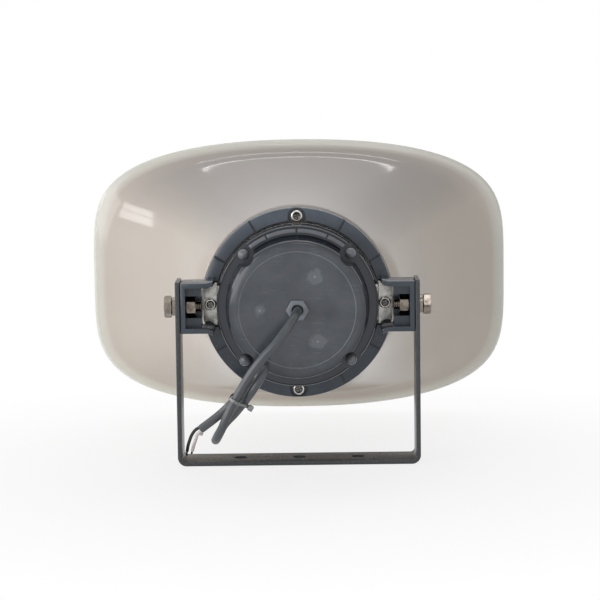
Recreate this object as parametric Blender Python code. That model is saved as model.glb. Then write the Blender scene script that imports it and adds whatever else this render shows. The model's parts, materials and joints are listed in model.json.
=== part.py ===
"""A public address horn loudspeaker: a rectangular re-entrant horn on a tilting steel bracket.

Metres, +Z up. The origin is the centre of the bracket base's underside. The horn's axis runs along Y,
its mouth faces +Y and the driver's cover faces -Y. The tilt axis runs along X through both lugs.
Everything that tilts is parented to an empty on that axis, and is written in the empty's frame.
"""

import math

import bmesh
import bpy
from mathutils import Matrix, Vector

MM = 0.001
GAP = 0.3 * MM  # between separate pieces that rest on each other
INSIDE = 1.0 * MM  # how far a cutter or a joined piece reaches past the face it meets

# Sides of round pieces, by their size
LARGE_SIDES = 40
COVER_SIDES = 36
ROUND_SIDES = 28
FILM_SIDES = 24
SMALL_SIDES = 14
BOSS_SIDES = 12
TINY_SIDES = 10
TIP_SIDES = 8
ARC_STEPS = 8
BEND_STEPS = 5

# The driver's outside, from which the ring, the bell's neck and the bracket's width follow
DRIVER_R = 54.5 * MM
COVER_BOSS_RADIUS = DRIVER_R - 4 * MM

# Bracket, bent from flat steel
BRACKET_DEPTH = 30 * MM
BRACKET_STOCK = 3 * MM
BRACKET_BEND = 3 * MM  # inside radius of the bends
PIVOT_HEIGHT = 107 * MM
ARM_ABOVE_PIVOT = 18 * MM
ARM_CORNER = 3 * MM
BASE_HOLE_R = 4.5 * MM
BASE_HOLE_PITCH = 40 * MM

# Pivot bolts, M8
BOLT_R = 3.9 * MM
BOLT_LENGTH = 20 * MM
HEX_ACROSS_FLATS = 13 * MM
HEX_FACE_INSET = 0.25 * MM  # from the flats in to the round edge of the end faces
HEX_CHAMFER = 30
HEX_FACE_SIDES = 16
BOLT_HEAD = 5.3 * MM
NUT_THICKNESS = 6.5 * MM
WASHER_R = 6.3 * MM
WASHER_THICKNESS = 2.2 * MM
WASHER_SPLIT = 1.2 * MM
WASHER_TWIST = 0.5
BOLT_CLEARANCE = 0.35 * MM
RIGHT_HEAD_TURN = 30

# Cast mounting ring with lugs
RING_BORE_R = DRIVER_R + 1.3 * MM
RING_R = RING_BORE_R + 9.2 * MM
RING_BACK = 13 * MM
RING_FRONT = 24.7 * MM
RING_WEB = 5.7 * MM
GROOVE_WIDTH = 1.3 * MM
GROOVE_DEPTH = 1.0 * MM
RECESS_R = 6.2 * MM
RECESS_DEPTH = 1.6 * MM
LUG_HEIGHT = 34 * MM
LUG_WALL = 3.4 * MM
LUG_BACK = -14 * MM
LUG_INNER = RING_BORE_R + 0.7 * MM
LUG_FLOOR = -5 * MM
LUG_ROOT = RING_R - 3 * MM
POCKET_DEPTH = 8.2 * MM
BRACKET_WIDTH = 2 * (RING_R + 17 * MM)

# Screws through the ring and the bell's flange
FLANGE_SCREW_RADIUS = RING_BORE_R + 3.6 * MM
LUG_BLOCK = FLANGE_SCREW_RADIUS + 5.5 * MM
FLANGE_SCREW_R = 2.0 * MM
FLANGE_SCREW_LENGTH = 22 * MM
PAN_HEAD_R = 4.0 * MM
PAN_HEAD = 2.6 * MM
SCREW_CLEARANCE = 0.35 * MM
FLANGE_SCREW_ANGLES = (0, 90, 180, 270)

# Shares of a pan head's radius and height
CROWN_R = 0.72
CROWN_EDGE_R = 0.94
CROWN_EDGE = 0.3
CROWN_SIDE = 0.7
CROSS_REACH = 0.55
CROSS_HALF_WIDTH = 0.13
CROSS_DEPTH = 0.45
TIP_TAPER = 0.6
TIP_R_SHARE = 0.4

# Bell
MOUTH_WIDTH = 314 * MM
MOUTH_HEIGHT = 206 * MM
MOUTH_DEPTH = 178 * MM
BELL_WALL = 2.8 * MM
BELL_NECK_R = DRIVER_R + 1 * MM
BELL_FLANGE_R = RING_R + 1.3 * MM
BELL_FLANGE = 4 * MM
BELL_OPENING_R = DRIVER_R - 14.5 * MM
BELL_LIP = 8 * MM
BELL_LIP_DEPTH = 6 * MM
BELL_BOSS_R = 4.6 * MM
BELL_BOSS = 11 * MM
LIP_FACE = 1.2 * MM
LIP_TURNS = (-60, -10, 40, 80)

# How square the mouth's outline is along each axis, and how fast the horn widens and squares up
CORNER_X = 2.22
CORNER_Z = 4.33
CORNER_EASE = 0.8
FLARE_X = 2.1
FLARE_Z = 1.5
SLOPE_STEP = 0.01
BISECTIONS = 40
BELL_SIDES = 52
BELL_RINGS = 7

# Cast driver chassis
CHASSIS_RIM_BACK = 14.5 * MM
CHASSIS_LAND_BACK = 15.7 * MM
CHASSIS_PLATE_BACK = 18.7 * MM
CHASSIS_FRONT = 22.9 * MM
CHASSIS_BOSS_FRONT = 26 * MM
CHASSIS_DISH = 2.6 * MM
CHASSIS_DISH_SLOPE = 1 * MM
THROAT_HOLE_R = 12.5 * MM
RIM_LAND_R = COVER_BOSS_RADIUS - 4.5 * MM
TOP_PLATE_R = RIM_LAND_R - 1 * MM
PLATE_SCREW_RADIUS = TOP_PLATE_R - 3.3 * MM
PLATE_LAND_R = PLATE_SCREW_RADIUS - 3.2 * MM
CHASSIS_BOSS_R = PLATE_LAND_R - 8.5 * MM
COIL_R = PLATE_LAND_R / 2
CHASSIS_DISH_R = COIL_R + 2.75 * MM
EAR_REACH = LUG_BLOCK - GAP
EAR_HEIGHT = 24 * MM
EAR_BACK = 13.2 * MM
EAR_TAB_R = 4.1 * MM
EAR_TAB = 1.8 * MM
SCREW_FLOOR = 0.8 * MM  # metal left in front of the top plate's screws
TUBE_SCREW_DEPTH = 5 * MM

# Rear cover
COVER_WALL = 2.5 * MM
COVER_SEAT = 12.7 * MM
COVER_SHELF = -6 * MM
COVER_DRUM_R = COVER_BOSS_RADIUS - 3 * MM
COVER_BACK = -28 * MM
COVER_FACE_R = COVER_DRUM_R - 8 * MM
COVER_FILLET = 6.5 * MM
LEAST_FILLET = 1.5 * MM
DRUM_TAPER = 1.2 * MM
DRUM_FOOT = 1.6 * MM
DRUM_FOOT_SLOPE = 0.4 * MM
DRUM_LEAN = 0.2 * MM
SHELF_CHAMFER = 1 * MM
FILLET_TURNS = (0, 30, 60, 90)
COVER_BOSS_R = 3.8 * MM
COVER_BOSS = 5 * MM
DOME_TURNS = (30, 65)
RELIEF_R = 7 * MM
RIM_INSET = 1.5 * MM
RIM_STEPS = 4
RIM_WIDTH = 3.2 * MM
RIM_HEIGHT = 2.2 * MM
RIM_ARCS = ((55, 66), (68, 90), (92, 113), (115, 125))
COVER_SCREW_R = 1.6 * MM

# Motor
TOP_PLATE_BORE_R = COIL_R + 1.05 * MM
TOP_PLATE = 5 * MM
MAGNET_R = PLATE_LAND_R - 0.5 * MM
MAGNET_BORE_R = TOP_PLATE_BORE_R + 2.7 * MM
MAGNET = 14 * MM
MOTOR_CHAMFER = 1 * MM
YOKE_R = MAGNET_R - 0.5 * MM
YOKE_PLATE = 5 * MM
POLE_R = COIL_R - 1.05 * MM
COIL_WALL = 0.7 * MM
COIL_LENGTH = 7.5 * MM
CLAMP_BORE_R = COIL_R + 5.25 * MM
CLAMP_R = CLAMP_BORE_R + 5.5 * MM
CLAMP = 1.9 * MM
DIAPHRAGM_WALL = 0.5 * MM
DIAPHRAGM_RISE = 2.6 * MM
DOME_SHARES = (0, 0.45, 0.8, 1.0)
COIL_DROP = 0.4 * MM  # from the clamped rim back to the dome's edge, where the coil is glued
SURROUND = 1.8 * MM
SURROUND_RISE = 0.5 * MM
STRIP_HALF_WIDTH = 13 * MM
STRIP_HALF_HEIGHT = 6 * MM
STRIP = 1.6 * MM
PLATE_SCREW_R = 1.6 * MM
SMALL_HEAD_R = 2.7 * MM
SMALL_HEAD = 2.0 * MM
PLATE_SCREW_LENGTH = 13 * MM
COVER_SCREW_LENGTH = 26 * MM
THROAT_SCREW_LENGTH = 9.6 * MM

# Throat tube and reflector
TUBE_BORE_R = 11 * MM
TUBE_MOUTH_R = 19 * MM
TUBE_WALL = 2 * MM
TUBE_END = 128 * MM
TUBE_FLANGE_R = CHASSIS_BOSS_R - 0.6 * MM
TUBE_FLANGE = 4 * MM
TUBE_SCREW_RADIUS = TUBE_FLANGE_R - 4.9 * MM
TUBE_SCREW_ANGLES = (90, 210, 330)
TUBE_FOOT = 2 * MM
PLUG_RING = 1.3 * MM
PLUG_WEB_HALF = 0.8 * MM
PLUG_WEB_ANGLES = (30, 150, 270)
BULLET_R = 7 * MM
BULLET_NOSE = ((4.6 * MM, 7 * MM), (2 * MM, 12 * MM), (0, 13 * MM))
FIN = 2 * MM
FIN_START = 72 * MM
FIN_END = 118 * MM
REFLECTOR_RIM_R = 42.5 * MM
REFLECTOR_NOSE_R = 34 * MM
REFLECTOR_RIM = 52 * MM
REFLECTOR_SHOULDER = 142 * MM
REFLECTOR_FRONT = 168 * MM
REFLECTOR_WALL = 2.5 * MM
NOSE_TURNS = (0, 25, 50, 72)

# Cable and its ends
CABLE_R = 2.9 * MM
CABLE_STEP = 5.4 * MM
GROMMET_ACROSS = 13.4 * MM
GROMMET_HEIGHT = 1.6 * MM
GROMMET_NECK_R = 4.6 * MM
GROMMET_LIP_R = 6.4 * MM
GROMMET_LIP = 1.4 * MM
GROMMET_LEAD = 0.6 * MM
CORE_R = 1.1 * MM
CORE_STEP = 3 * MM
TIP_R = 0.6 * MM
TIP_LENGTH = 4.4 * MM
FILLER_R = 1.3 * MM
TIE_WIDTH = 2.5 * MM
TIE_THICKNESS = 1.1 * MM
TIE_CENTRE = (-39.6, -47, -57.2)
TIE_ALONG = (-0.53, 0, -0.848)
TIE_REACH = 20 * MM  # passes of the cable farther from the centre than this are not in the tie
TIE_HEAD_HALF = (2.2 * MM, 2.6 * MM, 2.2 * MM)
TIE_HEAD_OUT = 2.4 * MM
INNER_LEAD_R = 0.9 * MM
INNER_LEAD_STEP = 2.5 * MM
COIL_LEAD_R = 0.6 * MM
COIL_LEAD_STEP = 3.5 * MM

# The cable's way, in millimetres from the tilt axis: out of the grommet, down through the tie, round
# the lower bight, up through the tie, round the upper bight and down through the tie to its end
CABLE_ROUTE = (
    (0, -16, 0), (0, -25, 0), (0, -34, 0), (-1.8, -45, -2.3), (-6.7, -53, -8.7), (-13.4, -56.5, -17.4),
    (-22, -57, -26.5), (-31.5, -56.3, -39), (-40.8, -55, -54.5), (-46.5, -55.4, -65.5),
    (-50.4, -54.2, -74.5), (-53.6, -50.2, -81), (-55, -43.5, -83.8), (-53.2, -36.6, -81),
    (-48.8, -33.4, -74.5), (-42.5, -38.5, -67.3), (-36.3, -47, -58.8), (-30.4, -53, -50.3),
    (-25.5, -52.8, -42.8), (-22.4, -48.2, -37), (-21.4, -42.6, -35), (-23, -36.3, -37.6),
    (-27.6, -33.2, -43.6), (-34, -35.6, -50.5), (-41.8, -39.4, -57.6), (-49.5, -38, -65.4),
    (-57, -33, -72.2), (-64.8, -27, -78.8),
)
BLACK_ROUTE = (
    (-66.1, -27.1, -78), (-69.2, -24.2, -80.3), (-71.8, -21, -84), (-73.6, -17.3, -88.4),
    (-75.1, -13.4, -93.2), (-75.9, -10.2, -97.2),
)
WHITE_ROUTE = (
    (-65, -28, -80.2), (-67.8, -26.2, -82.9), (-69.6, -21.6, -88), (-71.2, -16, -92.8),
    (-72.2, -12.2, -96.4),
)
FILLER_ENDS = ((-64.6, -25.3, -79.8), (-65.6, -24.5, -83.8))

# Leads inside the cover, on the right: places along X, along Y and up. The inner lead starts at the cable
# and ends at the strip. The coil's lead starts at the strip, and both count Y from the strip's back there.
INNER_LEAD_START = ((1.3, -15.2, 0), (3.5, -14, 0.4), (6.5, -12.6, 0.5))
INNER_LEAD_END = (9, -1.4, 0)
COIL_LEAD_START = ((15.2, 1, 0), (24, -0.6, 0), (34, -0.4, 0))
COIL_LEAD_BEND = 1.6 * MM
COIL_LEAD_DROPS = (2.5, 8)
COIL_LEAD_OUT = 2.8 * MM  # clear of the magnet's side

COVER_BOSS_ANGLES = (45, 135, 225, 315)
GROOVE_ANGLES = (30, 60, 120, 150, 210, 240, 300, 330)

FINISHES = {
    "bell plastic": ((0.62, 0.58, 0.52), 0.22, 0.0),
    "ring paint": ((0.10, 0.12, 0.14), 0.35, 0.0),
    "cover plastic": ((0.11, 0.115, 0.12), 0.25, 0.0),
    "cast metal": ((0.55, 0.55, 0.54), 0.45, 1.0),
    "bracket paint": ((0.09, 0.10, 0.115), 0.45, 0.0),
    "steel": ((0.52, 0.48, 0.44), 0.3, 1.0),
    "zinc": ((0.62, 0.62, 0.64), 0.3, 1.0),
    "ferrite": ((0.05, 0.05, 0.055), 0.6, 0.0),
    "rubber": ((0.03, 0.03, 0.03), 0.8, 0.0),
    "dark plastic": ((0.16, 0.16, 0.16), 0.5, 0.0),
    "grey sheath": ((0.13, 0.13, 0.13), 0.4, 0.0),
    "black core": ((0.02, 0.02, 0.02), 0.4, 0.0),
    "white core": ((0.75, 0.72, 0.70), 0.4, 0.0),
    "tie nylon": ((0.75, 0.75, 0.73), 0.35, 0.0),
    "copper": ((0.75, 0.42, 0.28), 0.35, 1.0),
    "resin film": ((0.36, 0.22, 0.12), 0.4, 0.0),
}


def clear_objects():
    for obj in list(bpy.data.objects):
        bpy.data.objects.remove(obj, do_unlink=True)


def finish(name):
    """The Principled material of that name, made once."""
    found = bpy.data.materials.get(name)
    if found:
        return found
    colour, roughness, metallic = FINISHES[name]
    made = bpy.data.materials.new(name)
    made.use_nodes = True
    shader = made.node_tree.nodes["Principled BSDF"]
    shader.inputs["Base Color"].default_value = (*colour, 1)
    shader.inputs["Roughness"].default_value = roughness
    shader.inputs["Metallic"].default_value = metallic
    return made


def make_empty(name, place):
    empty = bpy.data.objects.new(name, None)
    bpy.context.scene.collection.objects.link(empty)
    empty.location = place
    return empty


def make_object(name, bm, look, parent=None, smooth=True):
    """Turns a bmesh into a named object, shaded smooth with its hard edges kept."""
    bmesh.ops.recalc_face_normals(bm, faces=bm.faces)
    mesh = bpy.data.meshes.new(name)
    bm.to_mesh(mesh)
    bm.free()
    if smooth:
        mesh.shade_smooth()
        mesh.set_sharp_from_angle(angle=math.radians(35))
    mesh.materials.append(finish(look))
    obj = bpy.data.objects.new(name, mesh)
    bpy.context.scene.collection.objects.link(obj)
    obj.parent = parent
    return obj


def shape(target, operation, *pieces):
    """Adds a Boolean to target whose operand is a hidden guide made of the given bmeshes."""
    name = f"{target.name}_{operation.lower()}_{len(target.modifiers)}"
    guide = make_object(name, joined(*pieces), "dark plastic", target.parent, smooth=False)
    guide.hide_render = True
    guide.display_type = "WIRE"
    boolean = target.modifiers.new(name, "BOOLEAN")
    boolean.operation = operation
    boolean.solver = "EXACT"
    boolean.object = guide
    return guide


def joined(*pieces):
    """One bmesh that holds every piece, each still a body of its own."""
    whole = bmesh.new()
    for piece in pieces:
        bmesh.ops.recalc_face_normals(piece, faces=piece.faces)
        part = bpy.data.meshes.new("part")
        piece.to_mesh(part)
        piece.free()
        whole.from_mesh(part)
        bpy.data.meshes.remove(part)
    return whole


def turned(profile, steps=ROUND_SIDES, start=0.0, sweep=360.0):
    """Spins a closed outline of (radius, y) points about Y, from an angle in degrees above +X."""
    bm = bmesh.new()
    tilt = Matrix.Rotation(-math.radians(start), 3, "Y")
    verts = [bm.verts.new(tilt @ Vector((r, y, 0))) for r, y in profile]
    edges = [bm.edges.new((verts[i - 1], verts[i])) for i in range(len(verts))]
    full = sweep == 360.0
    bmesh.ops.spin(bm, geom=verts + edges, cent=(0, 0, 0), axis=(0, -1, 0), angle=math.radians(sweep),
                   steps=steps, use_merge=full, use_duplicate=False)
    if not full:
        bmesh.ops.holes_fill(bm, edges=[e for e in bm.edges if e.is_boundary])
    bmesh.ops.remove_doubles(bm, verts=bm.verts, dist=0.01 * MM)
    bmesh.ops.dissolve_degenerate(bm, edges=bm.edges, dist=0.005 * MM)
    bmesh.ops.delete(bm, geom=[e for e in bm.edges if e.is_wire], context="EDGES")
    return bm


def rod(start, end, radius, sides=SMALL_SIDES, end_radius=None, phase=0.0):
    """A round or many-sided bar between two points. phase turns it about its own axis, in degrees."""
    start, end = Vector(start), Vector(end)
    along = end - start
    bm = bmesh.new()
    turn = along.to_track_quat("Z", "Y").to_matrix().to_4x4()
    place = Matrix.Translation((start + end) / 2) @ turn @ Matrix.Rotation(math.radians(phase), 4, "Z")
    bmesh.ops.create_cone(bm, cap_ends=True, segments=sides, radius1=radius,
                          radius2=radius if end_radius is None else end_radius,
                          depth=along.length, matrix=place)
    return bm


def box(low, high):
    low, high = Vector(low), Vector(high)
    bm = bmesh.new()
    size = Matrix.Diagonal((*(high - low), 1))
    bmesh.ops.create_cube(bm, size=1, matrix=Matrix.Translation((low + high) / 2) @ size)
    return bm


def plate(outline, back, front):
    """A flat outline of (x, z) points, made solid between two places along Y."""
    bm = bmesh.new()
    face = bm.faces.new([bm.verts.new((x, back, z)) for x, z in outline])
    made = bmesh.ops.extrude_face_region(bm, geom=[face])
    moved = [v for v in made["geom"] if isinstance(v, bmesh.types.BMVert)]
    bmesh.ops.translate(bm, verts=moved, vec=(0, front - back, 0))
    return bm


def side_box(side, near, far, back, front, low, high):
    """A box between two distances out along X, on the left (-1) or on the right (+1)."""
    first, last = sorted((side * near, side * far))
    return box((first, back, low), (last, front, high))


def turned_to_side(bm, side, out):
    """Lays a shape that was spun about Y along X, that far out on the left (-1) or the right (+1)."""
    turn = Matrix.Rotation(-side * math.pi / 2, 4, "Z")
    bmesh.ops.transform(bm, matrix=Matrix.Translation((side * out, 0, 0)) @ turn, verts=bm.verts)
    return bm


def arc(centre, radius, start, end, steps=ARC_STEPS):
    """Points of an arc in a plane, from one angle to another in degrees."""
    angles = [math.radians(start + (end - start) * i / steps) for i in range(steps + 1)]
    return [(centre[0] + radius * math.cos(a), centre[1] + radius * math.sin(a)) for a in angles]


def polar(radius, degrees, y=0.0):
    angle = math.radians(degrees)
    return Vector((radius * math.cos(angle), y, radius * math.sin(angle)))


def turned_by(bm, degrees):
    """The same shape turned about the horn's axis."""
    bmesh.ops.rotate(bm, verts=bm.verts, matrix=Matrix.Rotation(-math.radians(degrees), 3, "Y"))
    return bm


def hex_radius(across_flats):
    return across_flats / math.sqrt(3)


def smooth_points(route, step):
    """Evenly spaced points on one smooth curve through a route given in millimetres."""
    knots = [Vector(p) * MM for p in route]
    knots = [2 * knots[0] - knots[1], *knots, 2 * knots[-1] - knots[-2]]
    dense = []
    for a, b, c, d in zip(knots, knots[1:], knots[2:], knots[3:]):
        for i in range(24):
            t = i / 24
            dense.append(0.5 * (2 * b + (c - a) * t + (2 * a - 5 * b + 4 * c - d) * t * t
                                + (3 * b - a - 3 * c + d) * t ** 3))
    dense.append(knots[-2])
    lengths = [0.0]
    for a, b in zip(dense, dense[1:]):
        lengths.append(lengths[-1] + (b - a).length)
    count = max(2, round(lengths[-1] / step))
    points, k = [], 0
    for i in range(count + 1):
        goal = lengths[-1] * i / count
        while k < len(lengths) - 2 and lengths[k + 1] < goal:
            k += 1
        share = (goal - lengths[k]) / (lengths[k + 1] - lengths[k])
        points.append(dense[k].lerp(dense[k + 1], share))
    return points


def make_tube(name, route, radius, step, look, parent, resolution=2):
    """A cable or core as a curve with a round bevel and filled ends."""
    curve = bpy.data.curves.new(name, "CURVE")
    curve.dimensions = "3D"
    curve.bevel_depth = radius
    curve.bevel_resolution = resolution
    curve.use_fill_caps = True
    points = smooth_points(route, step)
    spline = curve.splines.new("POLY")
    spline.points.add(len(points) - 1)
    for target, point in zip(spline.points, points):
        target.co = (*point, 1)
    curve.materials.append(finish(look))
    obj = bpy.data.objects.new(name, curve)
    bpy.context.scene.collection.objects.link(obj)
    obj.parent = parent
    return obj


def arm_inner():
    return BRACKET_WIDTH / 2 - BRACKET_STOCK


def lug_outer():
    return arm_inner() - GAP


def lug_wall_inner():
    return lug_outer() - LUG_WALL


def make_bracket():
    """U-shaped flat steel: one outline with bends at both corners, extruded to its depth."""
    half, inner = BRACKET_WIDTH / 2, arm_inner()
    top = PIVOT_HEIGHT + ARM_ABOVE_PIVOT
    bend_out, stock = BRACKET_BEND + BRACKET_STOCK, BRACKET_STOCK
    middle = half - bend_out
    outline = [(-half, top)]
    outline += arc((-middle, bend_out), bend_out, 180, 270, BEND_STEPS)
    outline += arc((middle, bend_out), bend_out, 270, 360, BEND_STEPS)
    outline += [(half, top), (inner, top)]
    outline += arc((middle, bend_out), BRACKET_BEND, 360, 270, BEND_STEPS)
    outline += arc((-middle, bend_out), BRACKET_BEND, 270, 180, BEND_STEPS)
    outline += [(-inner, top)]
    bm = plate(outline, -BRACKET_DEPTH / 2, BRACKET_DEPTH / 2)
    upper = [e for e in bm.edges if all(v.co.z > top - GAP for v in e.verts)]
    corners = [e for e in upper if abs(e.verts[0].co.x - e.verts[1].co.x) > GAP]
    bmesh.ops.bevel(bm, geom=corners, offset=ARM_CORNER, segments=3, profile=0.5, affect="EDGES")
    bracket = make_object("bracket", bm, "bracket paint", smooth=False)
    holes = [rod((x, 0, -INSIDE), (x, 0, stock + INSIDE), BASE_HOLE_R)
             for x in (-BASE_HOLE_PITCH, 0, BASE_HOLE_PITCH)]
    for side in (-1, 1):
        start = (side * (inner - INSIDE), 0, PIVOT_HEIGHT)
        end = (side * (half + INSIDE), 0, PIVOT_HEIGHT)
        holes.append(rod(start, end, BOLT_R + BOLT_CLEARANCE))
    shape(bracket, "DIFFERENCE", *holes)


def chamfered_hex(name, side, start, end, phase, pivot):
    """A hexagonal head or nut along X, with its corners turned off at both ends."""
    radius = hex_radius(HEX_ACROSS_FLATS)
    body = rod((side * start, 0, 0), (side * end, 0, 0), radius, 6, phase=phase)
    obj = make_object(name, body, "steel", pivot, smooth=False)
    face_r = HEX_ACROSS_FLATS / 2 - HEX_FACE_INSET
    wide = radius + INSIDE
    lead = (wide - face_r) * math.tan(math.radians(HEX_CHAMFER))
    low, high = sorted((start, end))
    outline = [(0, 0), (face_r, 0), (wide, lead), (wide, high - low - lead), (face_r, high - low),
               (0, high - low)]
    limit = turned(outline, HEX_FACE_SIDES, start=180 / HEX_FACE_SIDES)
    shape(obj, "INTERSECT", turned_to_side(limit, side, low))
    return obj


def make_pivot(side, word, pivot, head_phase):
    """Bolt, spring washer and nut of one arm."""
    outside = BRACKET_WIDTH / 2 + GAP
    head = outside + WASHER_THICKNESS + GAP
    bore = BOLT_R + BOLT_CLEARANCE
    bolt = chamfered_hex(f"pivot_bolt_{word}", side, head, head + BOLT_HEAD, head_phase, pivot)
    tip = (side * (head - BOLT_LENGTH), 0, 0)
    shape(bolt, "UNION", rod(tip, (side * (head + INSIDE), 0, 0), BOLT_R))
    ring = turned([(bore, 0), (WASHER_R, 0), (WASHER_R, WASHER_THICKNESS), (bore, WASHER_THICKNESS)],
                  SMALL_SIDES)
    washer = make_object(f"spring_washer_{word}", turned_to_side(ring, side, outside), "steel", pivot)
    slot = box((-WASHER_THICKNESS * 2, -WASHER_SPLIT / 2, 0),
               (WASHER_THICKNESS * 2, WASHER_SPLIT / 2, WASHER_R * 2))
    middle = Matrix.Translation((side * (outside + WASHER_THICKNESS / 2), 0, 0))
    bmesh.ops.transform(slot, matrix=middle @ Matrix.Rotation(WASHER_TWIST, 4, "Z"), verts=slot.verts)
    shape(washer, "DIFFERENCE", slot)
    seat = lug_wall_inner() - GAP
    nut = chamfered_hex(f"pivot_nut_{word}", side, seat, seat - NUT_THICKNESS, 0, pivot)
    hole_ends = (seat + INSIDE, seat - NUT_THICKNESS - INSIDE)
    shape(nut, "DIFFERENCE", rod(*((side * x, 0, 0) for x in hole_ends), bore))


def lug_body(side):
    """C-shaped block with two walls that run in to the ring, and the roots that join them to it."""
    half, hollow = LUG_HEIGHT / 2, LUG_HEIGHT / 2 - LUG_WALL
    outer = lug_outer()
    outline = [(LUG_INNER, -half), (outer, -half), (outer, half), (LUG_INNER, half), (LUG_INNER, hollow),
               (LUG_BLOCK, hollow), (LUG_BLOCK, -hollow), (LUG_INNER, -hollow)]
    pieces = [plate([(side * x, z) for x, z in outline], LUG_BACK, RING_BACK)]
    for low, high in ((hollow, half - INSIDE / 2), (INSIDE / 2 - half, -hollow)):
        pieces.append(side_box(side, LUG_INNER, LUG_ROOT, RING_BACK - INSIDE,
                               RING_FRONT - RING_WEB + INSIDE, low, high))
    return pieces


def make_ring(pivot):
    """Cast ring whose lugs carry the tilt bolts. It is cut down to a web between the lug walls."""
    outline = [(RING_BORE_R, RING_BACK), (RING_R, RING_BACK), (RING_R, RING_FRONT),
               (RING_BORE_R, RING_FRONT)]
    ring = make_object("mounting_ring", turned(outline, LARGE_SIDES), "ring paint", pivot)
    gate = LUG_HEIGHT / 2 - INSIDE
    shape(ring, "DIFFERENCE", *[side_box(side, RING_BORE_R / 2, lug_outer(), RING_BACK - INSIDE,
                                         RING_FRONT - RING_WEB, -gate, gate) for side in (-1, 1)])
    for side in (-1, 1):
        for piece in lug_body(side):
            shape(ring, "UNION", piece)
    hollow = LUG_HEIGHT / 2 - LUG_WALL
    pocket = hex_radius(HEX_ACROSS_FLATS) + GAP
    wall, mouth = lug_wall_inner(), LUG_BLOCK - INSIDE
    holes = []
    for side in (-1, 1):
        shape(ring, "DIFFERENCE", side_box(side, mouth, wall, LUG_BACK - INSIDE, LUG_FLOOR, -hollow, hollow))
        shape(ring, "DIFFERENCE", side_box(side, mouth, wall, LUG_FLOOR - INSIDE, POCKET_DEPTH,
                                           -pocket, pocket))
        holes.append(rod((side * (wall - INSIDE), 0, 0), (side * (lug_outer() + INSIDE), 0, 0),
                         BOLT_R + BOLT_CLEARANCE))
    for a in FLANGE_SCREW_ANGLES:
        holes.append(rod(polar(FLANGE_SCREW_RADIUS, a, RING_BACK - INSIDE * 3),
                         polar(FLANGE_SCREW_RADIUS, a, RING_FRONT + INSIDE),
                         FLANGE_SCREW_R + SCREW_CLEARANCE))
    shape(ring, "DIFFERENCE", *holes)
    arch = arc((0, FLANGE_SCREW_RADIUS), RECESS_R, 0, 180)
    arch += [(-RECESS_R, RING_BORE_R / 2), (RECESS_R, RING_BORE_R / 2)]
    recesses = [plate([(x, z * sign) for x, z in arch], RING_BACK - INSIDE, RING_BACK + RECESS_DEPTH)
                for sign in (-1, 1)]
    shape(ring, "DIFFERENCE", *recesses)
    grooves = []
    for a in GROOVE_ANGLES:
        groove = box((RING_BORE_R - INSIDE, RING_BACK - INSIDE, -GROOVE_WIDTH / 2),
                     (RING_R + INSIDE, RING_BACK + GROOVE_DEPTH, GROOVE_WIDTH / 2))
        grooves.append(turned_by(groove, a))
    shape(ring, "DIFFERENCE", *grooves)


def pan_screw(name, place, head_top, into, look, pivot, sizes, cross=False):
    """A screw along Y. head_top is the head's outer end, and into is +1 or -1, the way the shank points."""
    head_r, head, shank_r, length = sizes
    crown = [(0, 0), (head_r, 0)]
    end = [(shank_r, length), (0, length)]
    if cross:
        crown = [(0, 0), (head_r * CROWN_R, 0), (head_r * CROWN_EDGE_R, head * CROWN_EDGE),
                 (head_r, head * CROWN_SIDE)]
        end = [(shank_r, length - shank_r * TIP_TAPER), (shank_r * TIP_R_SHARE, length), (0, length)]
    outline = [*crown, (head_r, head), (shank_r, head), *end]
    bm = turned([(r, into * y) for r, y in outline], SMALL_SIDES if cross else TINY_SIDES)
    bmesh.ops.translate(bm, verts=bm.verts, vec=(place.x, head_top, place.z))
    screw = make_object(name, bm, look, pivot)
    if cross:
        reach, half, deep = head_r * CROSS_REACH, head_r * CROSS_HALF_WIDTH, head * CROSS_DEPTH
        for width, height in ((reach, half), (half, reach)):
            shape(screw, "DIFFERENCE", box((place.x - width, head_top - deep, place.z - height),
                                           (place.x + width, head_top + deep, place.z + height)))


def make_flange_screws(pivot):
    """Top and bottom screws sit in the ring's recesses, left and right ones on the ears' tabs."""
    in_ring = RING_BACK + RECESS_DEPTH
    on_tab = EAR_BACK - EAR_TAB
    sizes = (PAN_HEAD_R, PAN_HEAD, FLANGE_SCREW_R, FLANGE_SCREW_LENGTH)
    words = ("right", "top", "left", "bottom")
    for word, degrees, seat in zip(words, FLANGE_SCREW_ANGLES, (on_tab, in_ring, on_tab, in_ring)):
        pan_screw(f"flange_screw_{word}", polar(FLANGE_SCREW_RADIUS, degrees), seat - GAP - PAN_HEAD, 1,
                  "zinc", pivot, sizes, cross=True)


def skin(bm, loops):
    """Joins a row of closed loops of verts into a tube, and the last loop to the first."""
    for near, far in zip(loops, loops[1:] + loops[:1]):
        for i in range(len(near)):
            bm.faces.new((near[i - 1], near[i], far[i], far[i - 1]))


def superellipse(width, height, power_x, power_z, sides):
    """Points round a closed curve between an ellipse and a rectangle, evenly turned about its middle."""
    points = []
    for i in range(sides):
        angle = 2 * math.pi * i / sides
        c, s = math.cos(angle), math.sin(angle)
        low, high = 0.5, 1.5
        for _ in range(BISECTIONS):
            reach = (low + high) / 2
            if abs(reach * c) ** power_x + abs(reach * s) ** power_z < 1:
                low = reach
            else:
                high = reach
        points.append((width * low * c, height * low * s))
    return points


def flare(share, rate):
    return (math.exp(rate * share) - 1) / (math.exp(rate) - 1)


def bell_section(share, offset=0.0):
    """Half width, half height and corner powers of the bell's outside at a share of its depth."""
    wide = MOUTH_WIDTH / 2 - BELL_LIP
    high = MOUTH_HEIGHT / 2 - BELL_LIP
    half_x = BELL_NECK_R + (wide - BELL_NECK_R) * flare(share, FLARE_X) + offset
    half_z = BELL_NECK_R + (high - BELL_NECK_R) * flare(share, FLARE_Z) + offset
    blend = share ** CORNER_EASE
    return half_x, half_z, 2 + (CORNER_X - 2) * blend, 2 + (CORNER_Z - 2) * blend


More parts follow.
